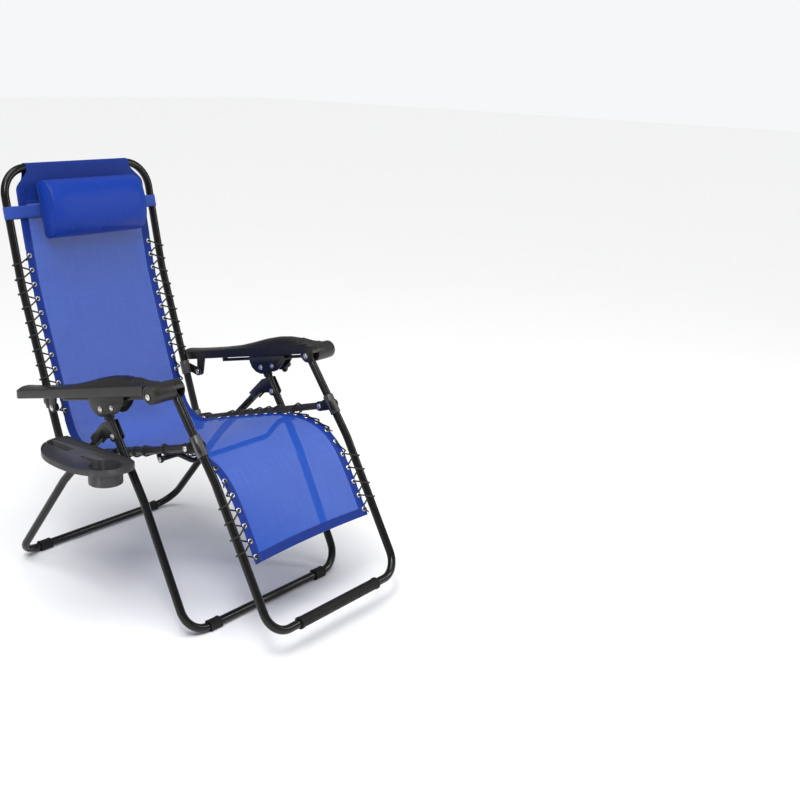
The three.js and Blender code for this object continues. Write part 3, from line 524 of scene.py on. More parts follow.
# ---- camera, lights, floor
def aim(yaw, pitch, roll):
    d = Vector((-cos(yaw) * cos(pitch), sin(yaw) * cos(pitch), -sin(pitch)))
    r = d.cross(Vector((0, 0, 1))).normalized()
    u = r.cross(d)
    r2 = r * cos(roll) + u * sin(roll)
    u2 = u * cos(roll) - r * sin(roll)
    return Matrix((r2, u2, -d)).transposed()


cam = linked("camera", bpy.data.cameras.new("camera"))
cam.matrix_world = Matrix.Translation(place(1916.3, -1946.7, 1411.8)) @ aim(
    radians(52.564), radians(16.918), radians(2.080)).to_4x4()
cam.data.sensor_width = 36.0
cam.data.lens = 49.60
SCENE.camera = cam

floor_mesh = bpy.data.meshes.new("floor")
floor_mesh.from_pydata([(-30, -30, 0), (30, -30, 0), (30, 30, 0), (-30, 30, 0)], [], [[0, 1, 2, 3]])
floor = linked("floor", floor_mesh)
paper = Nodes("floor_paper")
tone = paper.noise(3.0, 3.0, 0.5, paper.at())
floor_mesh.materials.append(paper.done(paper.mix(tone, (0.94, 0.94, 0.94), (0.96, 0.96, 0.96)), 0.9))

world = bpy.data.worlds.new("studio")
SCENE.world = world
world.use_nodes = True
tree = world.node_tree
sky = tree.nodes["Background"]
sky.inputs[0].default_value = (0.98, 0.99, 1.0, 1.0)
ray = tree.nodes.new("ShaderNodeLightPath")
level = tree.nodes.new("ShaderNodeMapRange")
level.inputs[3].default_value, level.inputs[4].default_value = 0.30, 0.94      # lighting, backdrop
tree.links.new(ray.outputs["Is Camera Ray"], level.inputs[0])
tree.links.new(level.outputs[0], sky.inputs[1])


def softbox(name, at, towards, size, watts):
    data = bpy.data.lights.new(name, "AREA")
    data.shape, data.size, data.size_y, data.energy = "RECTANGLE", size[0], size[1], watts
    ob = linked(name, data)
    ob.location = at
    ob.rotation_mode = "QUATERNION"
    ob.rotation_quaternion = (Vector(towards) - Vector(at)).to_track_quat("-Z", "Y")


softbox("key", (1.5, -1.7, 2.9), (0, 0, 0.5), (0.55, 1.1), 42)
softbox("fill", (2.2, 2.2, 2.0), (0, 0, 0.6), (0.4, 1.5), 20)
sun = linked("ceiling", bpy.data.lights.new("ceiling", "SUN"))
sun.data.energy, sun.data.angle = 2.25, radians(50)
sun.rotation_euler = (radians(14), radians(12), 0)
SCENE.view_settings.view_transform, SCENE.view_settings.look = "Standard", "None"

# ---- frame tubes
def u_frame(name, side, half, corner, bend, node):
    """One bent tube; side is half of it, from the open end to the crossbar."""
    pts = [(x, -half, z) for x, z in side] + [(x, half, z) for x, z in reversed(side)]
    at_bar = (len(side) - 1, len(side))
    radii, steps = zip(*[(corner, 16) if i in at_bar else (bend, 8) for i in range(len(pts))])
    s = Shape()
    sweep(s, rounded(pts, radii, steps), TUBE_R, 36)
    finish(s.make(name, "tube"), node)


u_frame("tubes_front_legs", [add2(LOCK_PIVOT, LEG_UP, 8), LEG_BEND, (0, FLOOR_BAR)], LEG_Y, 65, 180,
        "front_leg_frame")
u_frame("tubes_rear_legs", [add2(REAR_BEND, REAR_UP, 286), REAR_BEND, REAR_FOOT], LEG_Y, 65, 180,
        "rear_leg_frame")
u_frame("tubes_back", [back_at(314), BACK_BEND, BACK_TOP], TUBE_Y, 75, 220, "back_frame")
u_frame("tubes_footrest", [add2(ARM_FRONT, KNEE_UP, 10), KNEE, FOOTREST_END], TUBE_Y, 60, 150,
        "footrest_frame")

BRACE = add2(add2(SEAT_FRONT, RAIL_DIR, -121), RAIL_UP, -24)
SIDES = (("left", 1), ("right", -1))


def lug_outline(a, ra, b, rb, steps=12):
    d = unit(a, b)
    base = atan2(d[1], d[0])
    return [polar(c, r, start + pi * k / steps)
            for c, r, start in ((b, rb, base - pi / 2), (a, ra, base + pi / 2)) for k in range(steps + 1)]


def span(y0, y1, m):
    return (y0, y1) if m > 0 else (-y1, -y0)


def join(first, *others):
    """Joins meshes that share one finish into first."""
    bm = bmesh.new()
    for o in (first, *others):
        bm.from_mesh(o.data)
    bm.to_mesh(first.data)
    bm.free()
    for o in others:
        bpy.data.objects.remove(o)
    return first


for side, m in SIDES:
    s = Shape()
    a, b = add2(SEAT_REAR, RAIL_DIR, -9.5), add2(SEAT_FRONT, RAIL_DIR, 9.5)
    sweep(s, [(a[0], m * TUBE_Y, a[1]), (b[0], m * TUBE_Y, b[1])], RAIL_R, 32)
    rail = s.make("rail_" + side, "tube")
    tab = bevelled(plate("tab", lug_outline(BRACE, 9, add2(BRACE, RAIL_UP, 20), 9),
                         *span(TUBE_Y - 1.5, TUBE_Y + 1.5, m), "tube"), 0.5)
    finish(join(rail, tab), "seat_rail_" + side)

s = Shape()
half_bar = [(135, -32), (185, 0), (TUBE_Y - 6.8, 0)]
line = [(BRACE[0], y, BRACE[1] + drop) for y, drop in [(-y, d) for y, d in half_bar[::-1]] + half_bar]
sweep(s, rounded(line, [0, 35, 35, 35, 35, 0], [0, 10, 10, 10, 10, 0]), 7, 24)
for m in (1, -1):
    lathe(s, BRACE, [(m * (TUBE_Y - inward), r) for inward, r in (
        (5, 0.01), (5, 9.4), (4.6, 10), (2.2, 10), (1.8, 9.4), (1.8, 0.01))])
finish(s.make("brace_bar", "tube"), "seat_cross_brace")


# ---- bolts and rivets
def head(at, y, way, r, h, shape):
    """Domed rivet head on a washer, growing from y in the direction way."""
    prof = [(0, r), (0.25, r + 0.2), (0.9, r + 0.1), (1.0, r * 0.84), (h * 0.45 + 0.6, r * 0.78),
            (h * 0.85, r * 0.55), (h, r * 0.25), (h, 0.01)]
    lathe(shape, at, [(y, 0.01)] + [(y + way * d, q) for d, q in prof], segs=28)


def through_bolt(name, at, y0, y1, r, node, m):
    s = Shape()
    head(at, m * (y1 + 0.3), m, r, 3.4, s)
    head(at, m * (y0 - 0.3), -m, r, 3.2, s)
    lathe(s, at, [(m * (y0 - 1), 3.9), (m * (y1 + 1), 3.9)], segs=16)
    finish(s.make(name, "zinc", 30.0, True), node)


CHEEK = RAIL_R + 0.4 + 2.5
for side, m in SIDES:
    for name, at, y0, y1, r, node in (
        ("seat_front", SEAT_FRONT, TUBE_Y - CHEEK, TUBE_Y + CHEEK, 7.6, "seat_front"),
        ("seat_rear", SEAT_REAR, TUBE_Y - CHEEK, TUBE_Y + CHEEK, 7.6, "seat_rear"),
        ("arm_rear", ARM_REAR, TUBE_Y + RAIL_R + 0.4, ARM_IN + 6, 7.6, "armrest_rear"),
        ("arm_front", ARM_FRONT, ROLL_IN, ARM_OUT, 7.6, "armrest_front"),
        ("lock_pivot", LOCK_PIVOT, LEG_Y - LOCK_HALF, LEG_Y + LOCK_HALF, 7.6, "lock_pivot"),
        ("lock_front", LOCK_FRONT, LEG_Y - LOCK_HALF, LEG_Y + LOCK_HALF, 6.6, "lock_front"),
        ("crossing", CROSS, LEG_Y - 13.9, LEG_Y + 13.9, 7.6, "leg_cross"),
    ):
        through_bolt("bolt_" + name + "_" + side, at, y0, y1, r, node + "_bolt_" + side, m)
    s = Shape()
    head(BRACE, m * (TUBE_Y + 1.8), m, 6.6, 2.9, s)
    lathe(s, BRACE, [(m * (TUBE_Y - 8), 3.9), (m * (TUBE_Y + 2), 3.9)], segs=16)
    finish(s.make("bolt_brace_" + side, "zinc", 30.0, True), "brace_bolt_" + side)

# ---- pressed brackets and lock
for side, m in SIDES:
    for node, mm in (("front_hinge_bracket_", 0.7), ("rear_hinge_bracket_", 0.7),
                     ("armrest_rear_bracket_", 0.7), ("armrest_guide_", 0.8), ("lock_block_", 0.8),
                     ("leg_fork_", 0.7)):
        dressed(node + side, "bracket", mm)
    dressed("leg_top_sleeve_" + side, "plastic", 0.6)

# star knob with five soft lobes and a hub
KNOB_Y = LEG_Y + LOCK_HALF + 0.3 + 3.5 + 0.3


def lobes(r_in, r_out, y, n=80):
    out = []
    for k in range(n):
        t = 2 * pi * k / n
        x, z = polar(LOCK_FRONT, (r_in + r_out) / 2 + (r_out - r_in) / 2 * cos(5 * t), t)
        out.append((x, y, z))
    return out


s = Shape()
rings = [lobes(a, b, KNOB_Y + h) for a, b, h in (
    (9, 9, 0), (12, 12, 0), (12, 12, 4), (17, 23, 4.4), (19.4, 26.2, 5.6), (20, 27, 8), (20, 27, 12),
    (19.2, 26, 14.4), (16.5, 22.5, 15.8), (12.5, 14, 16), (11.5, 12, 15), (7, 7, 15))]
s.grid(rings, close_u=True)
s.fan(rings[-1], (LOCK_FRONT[0], KNOB_Y + 15, LOCK_FRONT[1]))
s.fan(rings[0], (LOCK_FRONT[0], KNOB_Y, LOCK_FRONT[1]), flip=True)
finish(s.make("star_knob", "plastic", 50.0), "lock_knob")

# ---- rubber feet and sleeve
def foot(name, at, m, node):
    """Blocky sleeve with end collars; it carries the chair."""
    y = [180, 180, 180.8, 185, 186, 213, 214, 218.2, 219, 219]
    r = [11.3, 13.3, 14, 14, 13.4, 13.4, 14, 14, 13.3, 11.3]
    s = Shape()
    lathe(s, at, [(m * a, b) for a, b in zip(y, r)], segs=40, power=3.4)
    finish(s.make(name, "rubber", 30.0), node)


for side, m in SIDES:
    foot("rubber_front_" + side, (0, FLOOR_BAR), m, "front_foot_" + side)
    foot("rubber_rear_" + side, REAR_FOOT, m, "rear_foot_" + side)
s = Shape()
prof = [(-150, 11.3), (-150, 14.9), (-149.4, 15.5), (-143, 15.5), (-142, 14.3)]
collar = [(-y, r) for y, r in prof[::-1]]
for k in range(9):
    y = -128 + 32 * k
    prof += [(y - 2.2, 14.3), (y - 1.2, 13.6), (y + 1.2, 13.6), (y + 2.2, 14.3)]
lathe(s, FOOTREST_END, prof + collar, segs=40, power=2.3)
finish(s.make("rubber_footrest", "rubber", 30.0), "footrest_sleeve")

# ---- armrests
TOP_LINE = [(-642, 531), (-632, 545), (-600, 551), (-540, 563), (-469, 578), (-400, 596), (-340, 617),
            (-290, 636), (-243, 650), (-200, 658), (-160, 660), (-122, 658), (-90, 655)]
ROLL_AT = add2(ARM_FRONT, (4, 6))
HOOD_END = 255.6


def arm_top(x):
    xs, zs = zip(*TOP_LINE)
    return float(np.interp(x, xs, zs))


def arm_rim(x):
    return min(arm_under(x) + 25 + 4 * smooth((x + 640) / 560), arm_top(x) - 0.6)


def arm_ring(x):
    """Cross-section of the armrest at x, as (y, z) round from the inner lower corner."""
    half = 30.0
    if x < -618:
        half -= 13 * (1 - sqrt(max(0.0, 1 - ((-618 - x) / 24.5) ** 2)))
    mid = (ARM_IN + ARM_OUT) / 2
    zb, rim = arm_under(x) + (1.5 if x < -640 else 0), arm_rim(x)
    crown = arm_top(x) - rim
    flank = [(half - 3, zb), (half - 0.9, zb + 0.9), (half, zb + 3), (half, rim - 4),
             (half - 0.3, rim - 1.6), (half - 1.4, rim - 0.2), (half - 3, rim)]
    ring = [(-half + 3, zb)] + flank
    for k in range(1, 20):
        w = 1 - 2 * k / 20
        dish = 1.6 * exp(-((x + 560) / 70) ** 2) * (1 - w * w)
        ring.append(((half - 3.4) * w, rim - dish + crown * (1 - abs(w) ** 2.6) ** 0.9))
    return [(x, mid + a, b) for a, b in ring + [(-a, b) for a, b in flank[:0:-1]]]


for side, m in SIDES:
    xs = [-641.8, -640.5, -638, -634, -629, -624] + [-618 + 9.7 * k for k in range(54)]
    rows = [[(x, m * y, z) for x, y, z in arm_ring(x)] for x in xs]
    s = Shape()
    s.grid(rows, close_u=True, flip=m < 0)
    mid = m * (ARM_IN + ARM_OUT) / 2
    s.fan(rows[0], (xs[0], mid, arm_under(xs[0]) + 11), flip=m > 0)
    s.fan(rows[-1], (xs[-1], mid, arm_under(xs[-1]) + 11), flip=m < 0)
    # grip bars across the front of the pad
    ws = np.linspace(-1, 1, 15)
    for k in range(4):
        x = -156 + 12 * k
        crest = arm_ring(x)[17][2] - 0.3
        sweep(s, [(x + 3 * abs(w) ** 2, mid + 23 * w, crest - 10 * abs(w) ** 3.2) for w in ws],
              [0.9 + 1.3 * cos(w * 1.45) for w in ws], 10)
    # hand roll: solid outer part, inner flange, and a hood over the tube end
    lathe(s, ROLL_AT, [(m * y, r) for y, r in (
        (HOOD_END, 0.01), (HOOD_END, 23.4), (256.2, ROLL_R), (319.6, ROLL_R), (321.4, 23.2),
        (ARM_OUT, 21.4), (ARM_OUT, 18), (321, 17.4), (321, 0.01))], segs=48)
    lathe(s, ROLL_AT, [(m * y, r) for y, r in (
        (ROLL_IN, 0.01), (ROLL_IN, 22), (229.6, 23.4), (230.5, 23.4), (230.5, 0.01))], segs=48)
    arcs = ((ROLL_R, np.linspace(17, 206, 40)), (18.2, np.linspace(206, 17, 40)))
    section = [polar(ROLL_AT, r, radians(d)) for r, ds in arcs for d in ds]
    s.grid([[(x, m * y, z) for x, z in section] for y in (230.5, HOOD_END)], close_u=True)
    for k in range(5):
        y = 264 + 10.5 * k
        lathe(s, ROLL_AT, [(m * (y + dy), r) for dy, r in (
            (-1.2, 23.9), (-0.7, 24.5), (0.7, 24.5), (1.2, 23.9))], segs=48)
    body = s.make("arm_body_" + side, "plastic", 40.0, True)
    lug = bevelled(plate("lug", lug_outline(ARM_REAR, 13, (ARM_REAR[0] + 4, arm_under(ARM_REAR[0]) + 6), 16),
                         *span(ARM_IN + 0.2, ARM_IN + 5.8, m), "plastic"), 0.8)
    join(body, lug)
    soft_shade(body)
    finish(body, "armrest_" + side)

# ---- sling: centreline
LINE = [add2(BACK_TOP, BACK_N, BAR_OVER), (-735, 1050), (-721, 960), (-706, 880), (-690, 800),
        back_at(720), back_at(600), back_at(500), back_at(446), (-554, 400), (-518, 373), (-470, 369),
        (-407, 387), (-326, 411), (-245, 434), (-164, 455), (-100, 466), (-50, 467), (-5, 458),
        (30, 441), (56, 419), (78, 393), (120, 324), (159, 253), (184, 208)]


def centripetal(points, per=80):
    p = [np.array(q, float) for q in points]
    p = [2 * p[0] - p[1]] + p + [2 * p[-1] - p[-2]]
    out = []
    for i in range(1, len(p) - 2):
        a, b, c, d = p[i - 1:i + 3]
        d0, d1, d2 = (sqrt(np.linalg.norm(v)) for v in (b - a, c - b, d - c))
        t1 = ((b - a) / d0 - (c - a) / (d0 + d1) + (c - b) / d1) * d1
        t2 = ((c - b) / d1 - (d - b) / (d1 + d2) + (d - c) / d2) * d1
        for k in range(per):
            t = k / per
            out.append(b + t1 * t + (-3 * b + 3 * c - 2 * t1 - t2) * t ** 2
                       + (2 * b - 2 * c + t1 + t2) * t ** 3)
    out.append(p[-2])
    return np.array(out)


FINE = centripetal(LINE)
ARC = np.concatenate([[0], np.cumsum(np.linalg.norm(np.diff(FINE, axis=0), axis=1))])
LENGTH = float(ARC[-1])


def at_arc(s):
    return (float(np.interp(s, ARC, FINE[:, 0])), float(np.interp(s, ARC, FINE[:, 1])))


def tangent(s):
    return unit(at_arc(max(s - 4, 0)), at_arc(min(s + 4, LENGTH)))


def normal(s):
    t = tangent(s)
    return (-t[1], t[0])


def arc_where(test):
    return next((a for a, p in zip(ARC, FINE) if test(p)), LENGTH)


BACK_EYES = [arc_where(lambda p: p[1] < 879) + BACK_PITCH * i for i in range(12)]
SEAT_EYES = [arc_where(lambda p: p[0] > -407) + SEAT_PITCH * i for i in range(18)]
LEG_FIRST = next(i for i, s in enumerate(SEAT_EYES) if at_arc(s - 20)[0] > SEAT_FRONT[0] + 30
                 and dist(at_arc(s - 20), SEAT_FRONT) > 84)
SPLIT_LEG = SEAT_EYES[LEG_FIRST] - 20
SLING_END = min(SEAT_EYES[17] + 17, LENGTH)
CORNER = (BACK_EYES[11] + SEAT_EYES[0]) / 2      # where back cloth and seat cloth meet
SEAT_MID = SEAT_EYES[4] + 20                     # where the two seat cloths meet
KNEE_FROM = arc_where(lambda p: p[0] > -76)      # the last eyelet that the rail holds
POCKET, TOP_HALF = 92.0, 172


def half_width(s):
    """Half width of the cloth: slanted at the top corners, pulled in a little at each eyelet."""
    w = TOP_HALF + 42 * smooth((s - 4) / 56)
    if BACK_EYES[0] - 20 < s < BACK_EYES[11] + 20:
        w -= 1.3 * (1 - cos(2 * pi * (s - BACK_EYES[0]) / BACK_PITCH)) / 2
    elif SEAT_EYES[0] - 20 < s:
        w -= 1.3 * (1 - cos(2 * pi * (s - SEAT_EYES[0]) / SEAT_PITCH)) / 2
    return w


def sag(s):
    """How far the middle of the cloth hangs below its edges, in millimetres."""
    seat = smooth((s - CORNER + 120) / 120) * smooth((SPLIT_LEG - s) / 80)
    return 5.0 * smooth((s - 60) / 200) + 2.0 * seat


def cloth_point(s, y, up=0.0):
    e = min(s, LENGTH - 0.01)
    p, n = at_arc(e), normal(e)
    k = up - sag(s) * max(0.0, 1 - (y / SLING_HALF) ** 2)
    return (p[0] + n[0] * k, y, p[1] + n[1] * k)


HEM_RING = [(188.5, 0.7), (190, 1.15), (200, 1.25), (211, 1.15), (213.3, 0.75), (214, 0), (213.3, -0.75),
            (211, -1.15), (190, -1.15), (188.5, -0.7)]
HEM_FROM, MESH_HALF = 53, 196      # the hems start below the slanted corners; half width between them
END_DIP, END_BAND = 5.0, 24        # the free end is cut in a shallow curve and doubled


def spaced(a, b, step):
    n = max(2, int(ceil((b - a) / step)))
    return [a + (b - a) * k / n for k in range(n + 1)]


def cloth_sheet(name, s0, s1):
    """One panel of the sling from arc s0 to s1: mesh middle, doubled hems, pocket and end hem."""
    shape = Shape()
    ss = spaced(s0, s1, 7.0)
    cols = np.linspace(-1, 1, 45)
    rows, uvs, lasts = [], [], s1 >= SLING_END - 0.1

    def dip(s, w):
        return END_DIP * (1 - w * w) * smooth((s - SLING_END + 90) / 90) if lasts else 0.0

    def uv_row(half, run):
        return [(half * w / 1000, run / 1000) for w in cols]

    for s in ss:
        half = min(half_width(s), MESH_HALF) if s > 62 else half_width(s)
        rows.append([cloth_point(s - dip(s, w), half * w) for w in cols])
        uvs.append(uv_row(half, s))
    shape.grid(rows, uvs, [int(s < POCKET or (lasts and s > SLING_END - END_BAND)) for s in ss])
    if s0 <= 0.1:                      # the pocket goes over the top bar and comes back down behind
        loop, luv, run = [], [], 0.0
        base = atan2(BACK_N[1], BACK_N[0])
        prof = [polar(BACK_TOP, BAR_OVER, base + t) for t in np.linspace(0, pi, 15)]
        last, tail = prof[-1], add2(at_arc(POCKET), normal(POCKET), -1.6)
        prof += [add2(last, (tail[0] - last[0], tail[1] - last[1]), k / 8) for k in range(1, 9)]
        for k, p in enumerate(prof):
            if k:
                run += dist(prof[k - 1], p)
            half = TOP_HALF + 30 * smooth(max(0.0, run - 40) / 80)
            loop.append([(p[0], half * w, p[1]) for w in cols])
            luv.append(uv_row(half, -run))
        shape.grid(loop, luv, 1, flip=True)
    for m in (1, -1):
        hrows, huv = [], []
        for s in [s for s in ss if s >= HEM_FROM] or ss:
            shift = half_width(s) - SLING_HALF
            hrows.append([cloth_point(s, m * (y + (shift if y > 200 else 0)), up) for y, up in HEM_RING])
            huv.append([(m * y / 1000, s / 1000) for y, up in HEM_RING + HEM_RING[:1]])
        shape.grid(hrows, huv, 2, close_u=True, flip=m < 0)
        for row, end_flip in ((hrows[0], m > 0), (hrows[-1], m < 0)):
            shape.fan(row, [sum(q[i] for q in row) / len(row) for i in range(3)], 2, flip=end_flip)
    if lasts:                          # rolled end hem
        bar = [cloth_point(SLING_END - END_DIP * (1 - w * w), 212 * w) for w in np.linspace(-1, 1, 41)]
        sweep(shape, bar, 1.25, 10, mat=2)
        band = (SLING_END - 22, SLING_END - 12, SLING_END - 1)
        for off in (1.0, -1.0):
            strip = [[cloth_point(s - END_DIP * (1 - w * w), MESH_HALF * w, off) for w in cols] for s in band]
            shape.grid(strip, [uv_row(MESH_HALF, s) for s in band], 1, flip=off < 0)
    return shape.make(name, "mesh solid hem", 60.0)


def ring_point(c, n, t, r, h, a):
    """Point at angle a on a ring of radius r round c; the cloth's normal is n, and h is along it."""
    return (c[0] + n[0] * h + t[0] * r * cos(a), c[1] + r * sin(a), c[2] + n[1] * h + t[1] * r * cos(a))


def eyelets(name, eyes):
    """Plated rings pressed through the hems."""
    shape = Shape()
    prof = [(3.5, -1.9), (3.5, 1.7), (3.9, 2.4), (4.8, 2.7), (5.9, 2.3), (6.7, 1.5), (6.8, 1.1), (6.8, -1.1),
            (6.4, -1.7), (5.2, -2.2), (4.0, -2.2)]
    outer, hole = (np.linspace(0, 2 * pi, sides, endpoint=False) for sides in (24, 16))
    for s in eyes:
        n, t = normal(s), tangent(s)
        for m in (1, -1):
            c = cloth_point(s, m * GROMMET_Y)
            shape.grid([[ring_point(c, n, t, r, h, a) for a in outer] for r, h in prof + prof[:1]],
                       close_u=True)
            # dark disc inside each ring: painted shadow of the hole and the cord through it
            shape.fan([ring_point(c, n, t, 3.6, 1.3, a) for a in hole], ring_point(c, n, t, 0, 1.3, 0), 1)
    return shape.make(name, "nickel dark", 40.0)


AT_SEAT = ("back", "seat", BACK_EYES[11] - 4, SEAT_EYES[0] + 4)
AT_KNEE = ("seat", "footrest", KNEE_FROM, SEAT_EYES[min(LEG_FIRST + 2, 17)])


def bend(ob, where):
    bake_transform(ob)


# name, arc from and to, hinge, CAD piece, what holds it, cloth turned in at its ends
PANELS = (
    ("back", 0.0, CORNER, AT_SEAT, "sling_back", ["tubes_back"], 130),
    ("seat_rear", CORNER, SEAT_MID, AT_SEAT, "sling_seat", ["rail_left", "rail_right"], 0),
    ("seat_front", SEAT_MID, SPLIT_LEG, AT_KNEE, "sling_seat", ["rail_left", "rail_right"], 0),
    ("leg", SPLIT_LEG, SLING_END, AT_KNEE, "sling_leg", ["tubes_footrest"], 22),
)
cloths = [cloth_sheet("cloth_" + name, s0, s1) for name, s0, s1, *rest in PANELS]
ring_sets = [eyelets("eyelets_" + name, [s for s in BACK_EYES + SEAT_EYES if s0 < s < s1])
             for name, s0, s1, *rest in PANELS]
for (name, s0, s1, where, node, holders, turned_in), panel, rings in zip(PANELS, cloths, ring_sets):
    bend(panel, where)
    bend(rings, where)
    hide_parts(node)

# ---- lacing
CORD = 2.2


def catmull(a, b, c, d, t):
    """The point at t between b and c, on a smooth line through all four."""
    return 0.5 * (2 * b + (c - a) * t + (2 * a - 5 * b + 4 * c - d) * t ** 2
                  + (3 * b - a - 3 * c + d) * t ** 3)


def flow(points, per=7):
    """A smooth line through the points."""
    p = [np.array(q, float) for q in points]
    p = [2 * p[0] - p[1]] + p + [2 * p[-1] - p[-2]]
    return [catmull(*p[i - 1:i + 3], k / per) for i in range(1, len(p) - 2) for k in range(per)] + [p[-2]]


def lace(name, eyes, tube_r, axis_of, wraps, m, node):
    """Cord up through an eyelet, over the tube, round it, and up through the next eyelet."""
    ring = tube_r + CORD + 0.4
    pts = []
    for i, s in enumerate(eyes):
        n = normal(s)
        p = cloth_point(s, GROMMET_Y)
        p = (p[0], p[2])
        for up in (-5.2, 0.0, 4.4):
            q = add2(p, n, up)
            pts.append((q[0], GROMMET_Y + 0.12 * up, q[1]))
        if i == len(eyes) - 1:
            break
        nxt = eyes[i + 1]
        if not wraps(s, nxt):
            for k, y, up in ((0.5, GROMMET_Y + 3, 4.2), (0.82, SLING_HALF + 4.5, 2.5),
                             (0.9, SLING_HALF + 4.5, -3)):
                c = s + (nxt - s) * k
                q = add2(at_arc(c), normal(c), up)
                pts.append((q[0], y, q[1]))
            continue
        point, d = axis_of((s + nxt) / 2)
        nrm = (-d[1], d[0])
        along = (p[0] - point[0]) * d[0] + (p[1] - point[1]) * d[1]
        base = add2(point, d, along)
        step = dist(at_arc(s), at_arc(nxt))
        turns = (105, 75, 45, 15, -15, -45, -75, -105)
        for k, deg in enumerate(turns):
            a = radians(deg)
            c = add2(base, d, step * (0.42 + 0.16 * (k + 0.5) / len(turns)))
            q = add2(c, nrm, ring * sin(a))
            pts.append((q[0], TUBE_Y + ring * cos(a), q[1]))
    shape = Shape()
    sweep(shape, [(x, m * y, z) for x, y, z in flow(pts)], CORD, 10)
    # a knot at each end, on the underside of the first eyelet and above the last
    for end, sgn, s in ((pts[0], -1, eyes[0]), (pts[-1], 1, eyes[-1])):
        n, t = normal(s), tangent(s)
        coil = []
        for k in range(25):
            x, y, z = ring_point(end, n, t, 2.6, sgn * (0.6 + 2.6 * k / 24), k / 24 * 4 * pi)
            coil.append((x, m * y, z))
        sweep(shape, coil, 1.9, 8)
        x, y, z = coil[-1]
        sweep(shape, [(x, y, z), (x + t[0] * 5, y + m * 3, z + t[1] * 5),
                      (x + t[0] * 10 - n[0] * sgn, y + m * 7, z + t[1] * 10 - n[1] * sgn)], 1.8, 8)
    ob = shape.make(name, "cord", 60.0)
    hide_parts(node)
    return ob


def back_axis(s):
    z = at_arc(s)[1]
    if z > BACK_BEND[1] + 30:
        return BACK_BEND, unit(BACK_TOP, BACK_BEND)
    if z > BACK_BEND[1] - 30:
        return BACK_BEND, unit(BACK_TOP, back_at(500))
    return BACK_BEND, unit(BACK_BEND, back_at(500))


def leg_axis(s):
    if at_arc(s)[1] > KNEE[1]:
        return KNEE, (-KNEE_UP[0], -KNEE_UP[1])
    return KNEE, unit(KNEE, FOOTREST_END)


ARM_BACK = back_at(ARM_REAR[1] + 8)


def clear_of_arm(s, n):
    return dist(ARM_BACK, at_arc((s + n) / 2)) > 40


def clear_of_brace(s, n):
    return (at_arc(n)[0] < SEAT_FRONT[0] - 40
            and abs((at_arc(s)[0] + at_arc(n)[0]) / 2 - BRACE[0]) > 24)


ON_SEAT = [s for s in SEAT_EYES if s < SPLIT_LEG]
ON_LEG = [s for s in SEAT_EYES if s > SPLIT_LEG]
for side, m in SIDES:
    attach(lace("cord_back_" + side, BACK_EYES, TUBE_R, back_axis, clear_of_arm, m, "lacing_back_" + side),
            "back")
    bend(lace("cord_seat_" + side, ON_SEAT, RAIL_R, lambda s: (SEAT_FRONT, RAIL_DIR), clear_of_brace, m,
              "lacing_seat_" + side), AT_KNEE)
    bend(lace("cord_leg_" + side, ON_LEG, TUBE_R, leg_axis, lambda s, n: at_arc(s)[1] < KNEE[1] - 14, m,
              "lacing_leg_" + side), AT_KNEE)


# ---- pillow and strap
STRAP_AT, FRONT, BEHIND = 118, 15.4, -13.6      # down the frame, and its two faces out from it
PILLOW_HALF, PILLOW_H, PILLOW_D = 163, 86, 74


def head_at(d, n, y=0):
    """The point d down the back frame from its top bar and n out from it."""
    x, z = add2(add2(BACK_TOP, UP_DIR, -d), BACK_N, n)
    return (x, y, z)


s = Shape()
mid_n, rad = (FRONT + BEHIND) / 2, (FRONT - BEHIND) / 2 - 0.6
cy = TUBE_Y + TUBE_R + 1.2 - 0.6 - rad
near = [(cy * k, rad) for k in np.linspace(-1, 1, 41)]
near += [(cy + rad * sin(a), rad * cos(a)) for a in np.linspace(0, pi, 14)[1:-1]]
loop = [(y, mid_n + n) for y, n in near] + [(-y, mid_n - n) for y, n in near]
cross = [(-17, 0), (-16.4, 0.6), (-8, 0.55), (0, 0.6), (8, 0.55), (16.4, 0.6), (17, 0), (16.4, -0.6),
         (-16.4, -0.6)]
rows, uvs, run = [], [], 0.0
for k, (y, n) in enumerate(loop + [loop[0]]):
    ty, tn = unit(loop[k % len(loop) - 1], loop[(k + 1) % len(loop)])
    if k:
        run += dist((y, n), loop[k - 1]) / 1000
    rows.append([head_at(STRAP_AT - h, n + ty * o, y - tn * o) for h, o in cross])
    uvs.append([(h / 1000, run) for h, o in cross + cross[:1]])
s.grid(rows, uvs, close_u=True)
strap = finish(s.make("pillow_band", "strap", 50.0), "pillow_strap")


def pillow_profile(grow=0.0, n=40):
    """Half-round outline in (down the back, out from it)."""
    out = []
    base = FRONT + 0.6
    for k in range(n + 1):
        t = pi * k / n - pi / 2
        c = abs(cos(t)) ** 0.82
        q = copysign(abs(sin(t)) ** 0.82, sin(t))
        out.append((STRAP_AT + (PILLOW_H + grow) * -q, base + 12 + (PILLOW_D - 12 + grow) * c))
    return out + [(STRAP_AT - PILLOW_H + 10 - grow, base), (STRAP_AT + PILLOW_H - 10 + grow, base)]


s = Shape()
ys = np.linspace(-PILLOW_HALF + 5, PILLOW_HALF - 5, 41)
prof = pillow_profile(-6.0)
rows = [[head_at(d, n, y) for d, n in prof] for y in ys]
s.grid(rows, close_u=True)
s.fan(rows[0], head_at(STRAP_AT, FRONT + 34, ys[0]), flip=True)
s.fan(rows[-1], head_at(STRAP_AT, FRONT + 34, ys[-1]))
pillow = s.make("pillow_cushion", "pillow", 180.0, True)


